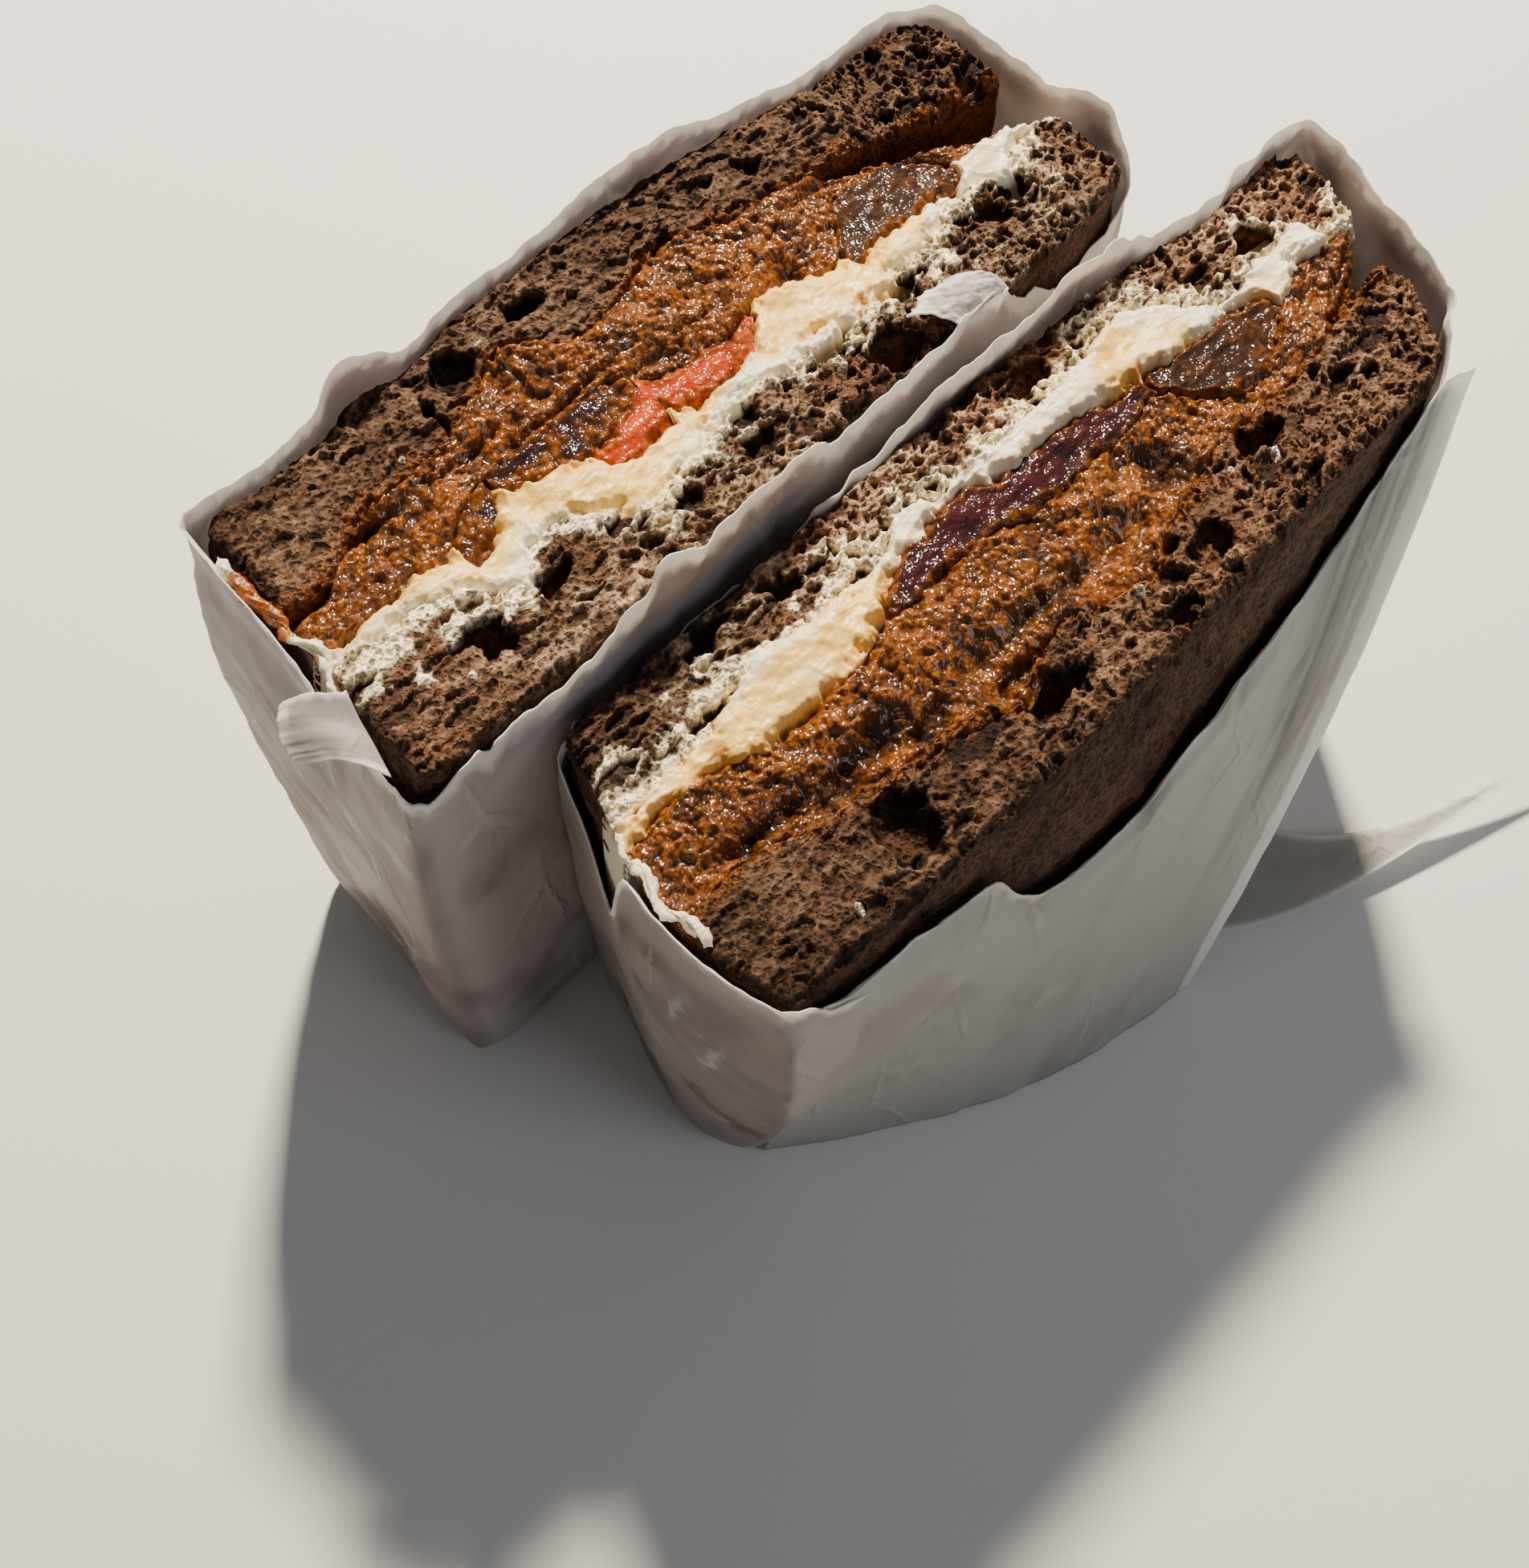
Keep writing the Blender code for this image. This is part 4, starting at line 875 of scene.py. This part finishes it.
# Cream cheese: soft, dense and bright, with light scattering inside it
cream_cheese, tree = new_material("cream_cheese")
tint_in, wet_in, place = point_inputs(tree)
curd = noise(tree, place, 1.1, 5.0, 0.6)["Fac"]
surface(tree, Base_Color=tint_in, Roughness=mapped(tree, wet_in, 0, 1, 0.5, 0.3, "LINEAR"),
        Normal=bumped(tree, curd, 0.5, 0.3), Subsurface_Weight=0.35,
        Subsurface_Radius=(1.0, 0.8, 0.5), Subsurface_Scale=0.8 * MM)

for half in ("left", "right"):
    grid, height, tint, wet = cream_face(half)
    # The cream's walls lie in the gaps between the layers: dimmed copies of its colours, painted shade
    walls = (CREAM_IVORY * 0.7, CREAM_IVORY * 0.5, CREAM_WHITE * 0.8)
    piece = food_piece(f"cream_cheese_{half}", half, grid, height, tint, wet, walls, cream_cheese)
    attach(piece, "root")
    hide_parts(f"cream_{half}")


# What the knife drew out between the food's near end and the paper: x over v, z over v, its two
# ends as v, its radius, and between which v the left one is orange
SMEAR_X = {"left": curve((-6.5, -64.4), (0, -63.1), (3, -63.2), (7, -63.6), (16.5, -62.8)),
           "right": curve((-8, -65.6), (-2, -67.2), (3, -67.7), (9.5, -67))}
SMEAR_Z = {"left": curve((-6.5, -0.9), (0, 0.2), (4, -0.5), (12, -0.4), (16.5, 0.3)),
           "right": curve((-8, -0.8), (-2, -0.3), (3, -0.1), (9.5, -0.7))}
SMEAR_RUN = {"left": (-6.5, 16.5), "right": (-8.0, 9.5)}
SMEAR_RADIUS = 1.0
SMEAR_ORANGE = (1.5, 14.5)


def smear(half):
    """A thin lumpy roll along the near end: rings round its path, white at its ends and orange
    between on the left half, white all along on the right one."""
    run = np.linspace(0, 1, 200)[:, None]
    around = np.linspace(0, 2 * np.pi, 18, endpoint=False)[None, :]
    v = SMEAR_RUN[half][0] + (SMEAR_RUN[half][1] - SMEAR_RUN[half][0]) * run
    lumps = rugged(v + 2 * np.cos(around), 2 * np.sin(around), 1.6, 231)
    radius = SMEAR_RADIUS * (0.75 + 0.9 * lumps) * ease(0, 0.06, run) * ease(1, 0.94, run) + 0.02
    x = SMEAR_X[half](v) + 0.9 * radius * np.cos(around) + 0.5 * rough(v, 0 * v, 2.5, 235)
    z = SMEAR_Z[half](v) + 0.8 * radius * np.sin(around)
    index = np.arange(x.size).reshape(x.shape)
    quads = grid_quads(np.concatenate([index, index[:, :1]], axis=1))[:, ::OUTER[half]]
    ends = [index[0][::OUTER[half]], index[-1][::-OUTER[half]]]
    points = settle(half, x, v + 0 * x, z).reshape(-1, 3)
    mesh = write_mesh(f"near_smear_{half}", points, quads, ends)
    start, stop = SMEAR_ORANGE
    orange = ease(start, start + 1.5, v) * ease(stop, stop - 1.5, v) if half == "left" else 0.0
    tint = blend(CREAM_WHITE * 0.9, SPREAD_ORANGE_AND_HIGHLIGHT, orange + 0.2 * ease(0, 1, lumps))
    paint(mesh, tint.reshape(-1, 3), np.full(x.size, 0.7))
    mesh.materials.append(cream_cheese)
    return scene_object(f"near_smear_{half}", mesh)


for half in ("left", "right"):
    piece = smear(half)
    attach(piece, "root")
    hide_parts(f"cream_{half}")


# The paper wrap
# One sheet of thin greaseproof paper that was wrapped tightly round the closed sandwich and cut
# through with it: a bag round each half with a torn white rim, creased where it was squeezed,
# darkened where oil has soaked in and with painted shade on its near-end faces, joined under the
# feet, with a loose side, a tail and a flap.

# The paper's thickness, its distance from the food, and how far it may crumple
PAPER = 0.2
PAPER_MARGIN = 0.75
CRUMPLE = 0.9
# The rim's height over the cut face: over x on the long sides, over v at the ends
RIM_OUTSIDE = {
    "left": curve((-64, 2), (-50, 1), (-42, 3), (-36, 5.5), (-32, 4.6), (-27, 1.4), (-8, 1.4),
                  (5, 2.6), (20, 4.2), (23, 2.4), (45, 0.8), (66, 1.8)),
    "right": curve((-67, 0), (-64, -1), (-60, -6.5), (-56, -9), (-50, -12), (-38, -15), (-30, -26),
                   (-15, -29), (0, -24), (20, -21), (34, -19), (50, -9), (60, 2)),
}
RIM_INSIDE = {
    "left": curve((-66, -4), (-60, -1.5), (-45, -1.5), (-36, 2), (-28, 5), (-22, 2.6), (-8, 3.8),
                  (-2, 3), (2, -1), (12, 0.4), (22, 1), (26, 2.6), (34, 2.6), (38, -2),
                  (54, -10), (62, -7)),
    "right": curve((-62, -4), (-30, -3), (-8, 0), (5, 3.2), (18, 2.6), (30, 5.2), (47, 2),
                   (54, 0.2), (60, 1.5), (72, 3)),
}
RIM_NEAR = {
    "left": curve((-22, -5), (-15, -5), (-4, -0.5), (6, 1), (22, 2)),
    "right": curve((-21, -4), (-10, -14), (-6, -17), (-3, 0), (0, 1.5), (20, 1)),
}
RIM_FAR = {
    "left": curve((-20, -6), (-16, 1), (-12, 4.6), (-8, 3.6), (-2, 1), (18, 2)),
    "right": curve((-17, 4), (-4, 3), (5, 3), (15, 2.5)),
}
# Where the wrap's far end stands, as x over v
WRAP_FAR = {
    "left": curve((-18, 66.8), (-7, 67.2), (12, 67.4), (18, 66.2)),
    "right": curve((-18.5, 73.2), (-14, 73.2), (-4, 70.2), (7, 67), (14, 64)),
}
# Where the corners of the loop lie over v, at the near end and at the far end
NEAR_CORNERS, FAR_CORNERS = (19.0, -19.5), (17.0, -18.0)
# How far the wall draws in at its foot
FOOT_FOLD = 1.8
# Points of the loop before it is evened out: along a long side and across an end
SIDE_POINTS, END_POINTS = 300, 98
# How far each wall may crumple: the outer one, the far end, the inner one and the near end
CRUMPLE_SHARES = {"left": (1.0, 0.45, 0.3, 1.0), "right": (0.5, 0.45, 0.3, 1.0)}
# Rows down the wall, the step along the loop, and how far the near rim flares out
WALL_ROWS = 85
LOOP_STEP = 0.62
RIM_FLARE = {"left": 1.8, "right": 0.5}
# Marks on the near faces: v, z, half width, half height, and whether a brown mark or a white streak
MARKS = {
    "left": ((9, -24, 3.2, 7, "brown"), (5, -36, 5, 4, "brown"), (-6, -26, 3.0, 2.6, "white"),
             (-3, -16, 0.5, 7, "white"), (-9, -34, 0.5, 8, "white")),
    "right": ((-3, -15, 1.6, 6, "brown"), (2, -11, 2.6, 3, "brown"), (-1, -27, 1.2, 2.4, "brown"),
              (6, -20, 0.5, 6, "white"), (11, -28, 0.7, 7, "white"), (-6, -9, 1.2, 3, "white")),
}
# The oil colour also serves as the painted shade on the bags' near-end faces
PAPER_WHITE, PAPER_CLEAN, PAPER_SHADE, PAPER_TORN, PAPER_OIL_AND_SHADE, PAPER_BROWN = (
    linear("#c8c0bf"), linear("#c9c8c3"), linear("#8f8180"), linear("#fbf9f5"), linear("#786869"),
    linear("#5e4238"))


def paper_material():
    """Greaseproof paper: thin, smooth and semi-translucent, with fibres that show when torn."""
    material, tree = new_material("greaseproof_paper")
    tint_in, wet_in, place = point_inputs(tree)
    fibre = noise(tree, place, 2.5, 7.0, 0.6)
    bent = warped(tree, place, fibre, 2.5)
    drawn = node(tree, "ShaderNodeVectorMath", {0: bent, 1: (1.0, 1.0, 0.4)},
                 operation="MULTIPLY").outputs["Vector"]
    large = grains_of(tree, drawn, 13, "DISTANCE_TO_EDGE")
    small = grains_of(tree, drawn, 5, "DISTANCE_TO_EDGE")
    area = noise(tree, place, 16)["Fac"]
    folds = combined(tree, "ADD", mapped(tree, large, 0, 0.07, 1.0, 0.0),
                     mapped(tree, small, 0, 0.2, 0.3, 0.0))
    folds = combined(tree, "MULTIPLY", folds, mapped(tree, area, 0.45, 0.62, 0.0, 1.0))
    bump = bumped(tree, summed(tree, fibre["Fac"], 0.35, folds), 0.5, 0.6)
    # The colour made paler along the fold lines
    paler_along_folds = node(tree, "ShaderNodeMix", {"Factor": mapped(tree, folds, 0.3, 1.3, 0.0, 0.25),
                                           "A": tint_in, "B": rgba("#f4f1ec")},
                   data_type="RGBA")
    gloss = mapped(tree, wet_in, 0, 1, 0.5, 0.28)
    shader = surface(tree, Base_Color=paler_along_folds.outputs["Result"], Roughness=gloss,
                     Normal=bump, Specular_IOR_Level=0.45)
    glow = node(tree, "ShaderNodeBsdfTranslucent", {"Color": paler_along_folds.outputs["Result"], "Normal": bump})
    both = node(tree, "ShaderNodeMixShader", {"Fac": 0.35, 1: shader.outputs["BSDF"],
                                              2: glow.outputs["BSDF"]})
    tree.links.new(both.outputs["Shader"], tree.nodes["Material Output"].inputs["Surface"])
    return material


def wrap_loop(half):
    """The wrap's closed outline round the food: the food's four sides in a row, their corners
    rounded by averaging neighbours, at even steps. Returns x, v, the outward direction, the rim's
    height, how much the wall may crumple, and the run along the loop."""
    near_out, near_in = (NEAR_END[half](corner) for corner in NEAR_CORNERS)
    far_out, far_in = (WRAP_FAR[half](corner) - 0.5 for corner in FAR_CORNERS)
    out_x = np.linspace(near_out, far_out, SIDE_POINTS)
    in_x = np.linspace(near_in, far_in, SIDE_POINTS)
    out_v = BREAD_OUTSIDE[half](np.clip(out_x, near_out + 1.2, far_out - 1.6))
    in_v = BREAD_INSIDE[half](np.clip(in_x, near_in + 1.2, far_in - 1.6))
    far_v = np.linspace(out_v[-1], in_v[-1], END_POINTS + 2)[1:-1]
    near_v = np.linspace(in_v[0], out_v[0], END_POINTS + 2)[1:-1]
    x = np.concatenate([out_x, WRAP_FAR[half](far_v), in_x[::-1], NEAR_END[half](near_v)])
    v = np.concatenate([out_v, far_v, in_v[::-1], near_v])
    rim = np.concatenate([RIM_OUTSIDE[half](out_x), RIM_FAR[half](far_v),
                          RIM_INSIDE[half](in_x)[::-1], RIM_NEAR[half](near_v)])
    free = np.repeat(CRUMPLE_SHARES[half], (SIDE_POINTS, END_POINTS, SIDE_POINTS, END_POINTS))
    loop = np.stack([x, v, rim, free])
    for _ in range(6):
        loop = 0.5 * loop + 0.25 * (np.roll(loop, 1, axis=1) + np.roll(loop, -1, axis=1))
    run = np.concatenate([[0], np.cumsum(np.hypot(*np.diff(loop[:2], axis=1)))])
    length = run[-1] + np.hypot(*(loop[:2, 0] - loop[:2, -1]))
    closed = np.concatenate([loop, loop[:, :1]], axis=1)
    even = np.linspace(0, length, round(length / LOOP_STEP), endpoint=False)
    x, v, rim, free = (np.interp(even, np.append(run, length), row) for row in closed)
    along = np.stack([np.roll(x, -1) - np.roll(x, 1), np.roll(v, -1) - np.roll(v, 1)])
    along = along / np.hypot(*along)
    for _ in range(3):
        along = along + np.roll(along, 1, axis=1) + np.roll(along, -1, axis=1)
        along = along / np.hypot(*along)
    return x, v, -along[1], along[0], rim, free, even


def crumpled(run, down, seed):
    """Crumpled paper: sharp ridges where a slow noise is zero, with long folds down the wall."""
    sharp = 1 - np.abs(rugged(run, down, 13.0, seed, 3)) * 2.2
    long = rough(run, down / 7, 8.0, seed + 5)
    return np.clip(0.5 + 0.35 * sharp + 0.35 * long, 0, 1)


def bag(half, material):
    """The paper round one half: rows of the loop from the torn rim to the table, each a margin
    and some crumple away from the food, and the flat foot. The rim is most ragged between the
    halves."""
    x, v, nx, nv, rim, free, run = wrap_loop(half)
    fray = 0.5 * rugged(run, 0 * run, 5.0, 121) + 0.25 * rough(run, 0 * run, 1.3, 122) - 0.5
    between = ease(-0.5, -0.9, nv)
    tears = ease(0.1, 0.6, rugged(run, 0 * run, 6.0, 127))
    rim = rim + fray - between * (1.6 * tears - 0.5)
    share = np.linspace(0, 1, WALL_ROWS + 1)[:, None] ** 1.25
    z = rim + (-CUT_HEIGHT[half] - rim) * share
    below_rim = rim - z
    bumps = crumpled(run + 0 * z, z, 123) * ease(0, 10, below_rim + 2)
    fold = FOOT_FOLD * ease(0.95, 1.0, share)
    flare = RIM_FLARE[half] * ease(8, 0, below_rim) * ease(-0.6, -0.9, nx) * ease(-15, -5, v)
    flare = flare + 0.7 * free * ease(1.8, 0, below_rim) * (0.6 + 0.5 * rough(run, 0 * run, 6.0, 125))
    flare = flare + 0.8 * between * ease(7, 0, below_rim) * rough(run + 0.4 * z, 0.6 * z, 3.0, 129)
    out = PAPER_MARGIN + CRUMPLE * free * bumps + flare - fold
    place = settle(half, x + nx * out, v + nv * out, z)
    top = place[0, :, 2]
    place[..., 2] = top + (PAPER / 2 - top) * share
    index = np.arange(place.shape[0] * place.shape[1]).reshape(place.shape[:2])
    wrapped = np.concatenate([index, index[:, :1]], axis=1)
    quads = grid_quads(wrapped)[:, ::-1]
    foot = index[-1]
    if OUTER[half] < 0:
        quads, foot = quads[:, ::-1], foot[::-1]
    mesh = write_mesh(f"wrap_bag_{half}", place.reshape(-1, 3), quads, [foot])
    tight = 0.5 * ease(0.6, 0.2, bumps) + 0.4 * ease(0.0, 0.8, rugged(run + 0 * z, z, 16.0, 131))
    tint = blend(PAPER_WHITE, PAPER_SHADE, tight * ease(0, 6, below_rim))
    # Painted shade: the near-end faces, turned away from the soft box, take the oil colour, besides the
    # random oil patches
    end_wall = ease(0.3, 0.8, np.abs(nx)) * (nx < 0)
    oil_and_end_shade = ease(0.15, 0.7, rugged(run + 0 * z, z, 15.0, 135) + 0.5 * end_wall)
    tint = blend(tint, PAPER_OIL_AND_SHADE, np.maximum(0.55 * oil_and_end_shade, 0.4 * end_wall) * ease(2, 10, below_rim))
    brown = ease(0.35, 0.8, rugged(run + 0 * z, z, 10.0, 139)) * end_wall * ease(14, 30, below_rim)
    tint = blend(tint, PAPER_BROWN, 0.6 * brown)
    for mark_v, mark_z, width, height, kind in MARKS[half]:
        slant = mark_v + 0.25 * (z - mark_z) + 1.2 * rugged(v + 0 * z, z, 3.0, 147)
        reach = ((v - slant) / width) ** 2 + ((z - mark_z) / height) ** 2
        mark = np.exp(-np.minimum(reach, 9) ** 1.5) * (nx < -0.3)
        tint = blend(tint, PAPER_BROWN if kind == "brown" else PAPER_TORN, 0.55 * mark)
    reach = 1 + 0.9 * between
    torn = ease(2.4 * reach, 0.8 * reach, below_rim + 0.9 * rough(run + 0 * z, z, 1.1, 143))
    tint = blend(tint, PAPER_TORN, torn)
    paint(mesh, tint.reshape(-1, 3), (0.7 * oil_and_end_shade + 0 * z).reshape(-1))
    mesh.materials.append(material)
    return scene_object(f"wrap_bag_{half}", mesh)


def sheet(name, grid, tint, material):
    """A loose sheet from a grid of points in millimetres."""
    index = np.arange(grid.shape[0] * grid.shape[1]).reshape(grid.shape[:2])
    mesh = write_mesh(name, grid.reshape(-1, 3), grid_quads(index))
    paint(mesh, tint.reshape(-1, 3), np.zeros(index.size))
    mesh.materials.append(material)
    return scene_object(name, mesh)


def finish_paper(piece):
    """Gives a sheet its thickness and hangs it on the frame."""
    solid = piece.modifiers.new("thickness", "SOLIDIFY")
    solid.thickness = PAPER * MM
    solid.offset = 0
    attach(piece, "root")
    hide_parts("paper_wrap")


def paper_tint(s, t, seed, free_edge):
    """Clean paper over a sheet: slow shading, with white fibres towards a free edge."""
    tint = blend(PAPER_CLEAN, PAPER_SHADE, 0.4 * ease(0.1, 0.9, rugged(s, t, 18.0, seed)))
    return blend(tint, PAPER_TORN, ease(1.5, 0.2, free_edge))


# The loose side: its ends over x, the part of the bag's wall that it lies against, the ends of
# its foot on the table, how far the foot bends out, its length and height laid flat, the breadth
# of the torn band along its free edge, and the height of its torn top over x
PANEL_X = (-62, 65)
PANEL_BACKING = (-66, 65)
PANEL_FOOT = ((-59.0, -44.0, 0.4), (9.0, -74.0, 0.4))
PANEL_BEND = 6
PANEL_LONG, PANEL_TALL = 125, 80
HEM = 5.0
PANEL_TOP = curve((-64, -2), (-58, -6), (-50, -6.5), (-39, -8.5), (-34, -10.5), (-31, -17),
                  (-23, -23.5), (-15, -25), (-8, -24.5), (0, -18.5), (16, -17.5), (28, -16),
                  (35, -15), (43, -10.5), (52, -4), (58, -2), (65, -6))


def side_panel(material):
    """The loose outer sheet on the right half, hanging from under the rim to the table."""
    half = "right"
    share = np.linspace(0, 1, 150)[None, :]
    drop = np.linspace(0, 1, 100)[:, None]
    x = PANEL_X[0] + (PANEL_X[1] - PANEL_X[0]) * share
    fray = 0.5 * rugged(x, 0 * x, 3.0, 145) + 0.3 * rough(x, 0 * x, 1.2, 149)
    wall = BREAD_OUTSIDE[half](np.minimum(x, 55)) + PAPER_MARGIN + 0.3 * rough(x, 0 * x, 7.0, 147)
    top = settle(half, x, wall, PANEL_TOP(x) + fray)
    near, far = np.array(PANEL_FOOT)
    foot = near + (far - near) * share[..., None]
    foot[..., 1] -= PANEL_BEND * np.sin(np.pi * share)
    grid = top + (foot - top) * drop[..., None]
    grid[..., 1] -= 2.0 * np.sin(np.pi * drop) * (0.3 + share)
    layout_x = np.clip(grid[..., 0] - HALF_SHIFT[half][0], *PANEL_BACKING)
    down = drop * PANEL_TALL
    clear = PAPER_MARGIN + 1.2 * ease(1, 8, down) * ease(0.0, 0.1, share) - 0.2
    wall_v = BREAD_OUTSIDE[half](layout_x) + clear
    bag_wall = settle(half, layout_x, wall_v, grid[..., 2] - CUT_HEIGHT[half])
    grid[..., 1] = np.minimum(grid[..., 1], bag_wall[..., 1])
    ripple = rugged(share * PANEL_LONG, down + 0 * share, 22.0, 151)
    grid[..., 1] -= 0.9 * np.abs(ripple) * ease(0, 0.2, drop) * ease(0, 0.15, share)
    grid[..., 1] -= 0.8 * ease(2.0, 0, down) * (0.7 + 0.5 * rough(x, 0 * x, 6.0, 157))
    # White torn band along the top and far edge: torn fibres, widened along the top as painted light for a
    # sunlit rim
    torn = np.minimum((1 - share) * 30, drop * 50) + 0.6 * rough(share * PANEL_LONG, down, 1.2, 153)
    tint = paper_tint(share * PANEL_LONG + 0 * drop, down + 0 * share, 155, torn)
    hem = ease(HEM + 0.5, HEM - 0.5, (1 - share) * 100 + 0.6 * ripple)
    tint = blend(tint, PAPER_TORN, 0.85 * hem)
    return sheet("wrap_side", grid, tint, material)


# The tail's two long edges, each as the four points of a cubic, and its breadth and length
TAIL_NEAR = ((4, -40, 0.5), (12, -76, 0.5), (21, -80, 0.5), (80, -92, 6.8))
TAIL_FAR = ((40, -40, 0.5), (36, -68, 0.5), (37, -78, 1.4), (80, -91, 6.8))
TAIL_WIDE, TAIL_LONG = 30, 90


def tail(material):
    """The loose corner of the wrap, lying out beyond the right half's far side: straight lines
    between its two curved edges."""
    across = np.linspace(0, 1, 40)[:, None]
    along = np.linspace(0, 1, 90)[None, :]

    def cubic(points):
        t, p = along[..., None], np.array(points, float)
        return ((1 - t) ** 3 * p[0] + 3 * t * (1 - t) ** 2 * p[1] + 3 * t * t * (1 - t) * p[2]
                + t ** 3 * p[3])

    grid = cubic(TAIL_FAR) * across[..., None] + cubic(TAIL_NEAR) * (1 - across[..., None])
    edge = np.minimum(across, 1 - across) * TAIL_WIDE * (1 - along)
    tint = paper_tint(across * TAIL_WIDE + 0 * along, along * TAIL_LONG + 0 * across, 161,
                      edge + 0 * along)
    return sheet("wrap_tail", grid, tint, material)


# The flap's corners as x, v, z: its upper edge and its lower edge, each from the rim outwards
FLAP_CORNERS = (((-63.6, -6.6, -0.6), (-68.6, -1.2, -2.2)), ((-65.6, -17.0, -3.4), (-71.8, -7.4, -4.8)))


def tongue(material):
    """The torn flap that folds out at the left half's near end, between its four corners."""
    down, out = np.meshgrid(np.linspace(0, 1, 60), np.linspace(0, 1, 50), indexing="ij")
    corners = np.array(FLAP_CORNERS)
    inner = corners[0, 0] + (corners[1, 0] - corners[0, 0]) * down[..., None]
    outer = corners[0, 1] + (corners[1, 1] - corners[0, 1]) * down[..., None]
    rounded = out * (0.85 + 0.22 * np.sin(np.pi * (0.06 + 0.88 * down)) ** 0.5)
    spot = inner + (outer - inner) * rounded[..., None]
    spot[..., 0] += 0.7 * rugged(down * 10, 0 * out, 3.0, 171) * out
    spot[..., 1] += 0.6 * rugged(out * 10, 3 * np.round(down), 3.0, 173) * np.abs(down - 0.5) * 2
    spot[..., 2] += 0.3 * rough(down * 12, out * 9, 4.0, 175) + 1.2 * np.sin(np.pi * out) * (0.4 + down)
    edge = np.minimum(np.minimum(down, 1 - down) * 10, (1 - out) * 8)
    tint = paper_tint(down * 12, out * 9, 179, edge + 0.6 * rough(down * 12, out * 9, 1.0, 177))
    return sheet("wrap_flap", settle("left", spot[..., 0], spot[..., 1], spot[..., 2]), tint, material)


# The scrap over the left inner slice: the end of its root on the rim as x, v, z, its length along
# the rim, how far it reaches back over x and in over v, and the height of its arch
SCRAP_ROOT = (25.0, -22.3, 1.8)
SCRAP_LONG = 9.5
SCRAP_BACK, SCRAP_IN = 4.0, 6.0
SCRAP_ARCH = 1.3


def scrap(material):
    """A torn scrap of the left half's inner rim, folded back over the crumb: it leaves the rim,
    rises a little and comes down again, in a half turn."""
    along, out = np.meshgrid(np.linspace(0, 1, 50), np.linspace(0, 1, 36), indexing="ij")
    ragged = out * (0.75 + 0.3 * rugged(along * 10, 0 * out, 3.0, 191) + 0.25 * np.sin(np.pi * along))
    x = SCRAP_ROOT[0] + SCRAP_LONG * along - SCRAP_BACK * ragged
    x = x + 0.5 * rugged(along * 10, out * 7, 3.0, 193)
    v = SCRAP_ROOT[1] + SCRAP_IN * ragged
    z = SCRAP_ROOT[2] + SCRAP_ARCH * np.sin(np.pi * out ** 0.8)
    z = z + 0.6 * rugged(along * 10, out * 7, 2.5, 195)
    edge = np.minimum(np.minimum(along, 1 - along) * 9, (1 - out) * 7)
    tint = paper_tint(along * 10, out * 7, 197, 0.6 * edge + 0.6 * rough(along * 10, out * 7, 1.0, 199))
    return sheet("wrap_scrap", settle("left", x, v, z), tint, material)


# The joining strip: its ends over x, its edges over y, and its height over the table
HINGE_X = (-54, 56)
HINGE_Y = (3.0, -12.0)
HINGE_LIFT = 0.45


def hinge(material):
    """The uncut strip of paper that joins the feet of the two bags."""
    x, y = np.meshgrid(np.linspace(*HINGE_X, 60), np.linspace(*HINGE_Y, 12))
    z = np.full_like(x, HINGE_LIFT)
    tint = paper_tint(x, y, 181, np.full_like(x, 9.0))
    return sheet("wrap_hinge", np.stack([x, y, z], axis=-1), tint, material)


# The fold between the bags: its place over x, its foot and top, and the depth of its pleats
WEB_X = -54
WEB_FOOT, WEB_TOP = 0.3, 30
WEB_PLEAT = 1.5


def web(material):
    """The crumpled fold between the two bags at their near end."""
    z = np.linspace(WEB_FOOT, WEB_TOP, 60)
    walls = []
    for half in ("left", "right"):
        x = np.full_like(z, WEB_X - HALF_SHIFT[half][0])
        walls.append(settle(half, x, BREAD_INSIDE[half](x) - PAPER_MARGIN, z - CUT_HEIGHT[half])[:, 1])
    share = np.linspace(0, 1, 20)
    grid = np.zeros((len(z), len(share), 3))
    pleats = rugged(share[None, :] * 9 + 0.05 * z[:, None], z[:, None] / 4 + 0 * share, 3.0, 187)
    grid[..., 0] = WEB_X + WEB_PLEAT * pleats * np.sin(np.pi * share)[None, :] - 0.05 * z[:, None]
    grid[..., 1] = walls[0][:, None] + (walls[1] - walls[0])[:, None] * share[None, :]
    grid[..., 2] = z[:, None]
    tint = paper_tint(grid[..., 1] * 3, grid[..., 2], 185, WEB_TOP - grid[..., 2])
    return sheet("wrap_web", grid, tint, material)


paper = paper_material()
for sheet_piece in (bag("left", paper), bag("right", paper), side_panel(paper), tail(paper),
                    tongue(paper), scrap(paper), hinge(paper), web(paper)):
    finish_paper(sheet_piece)
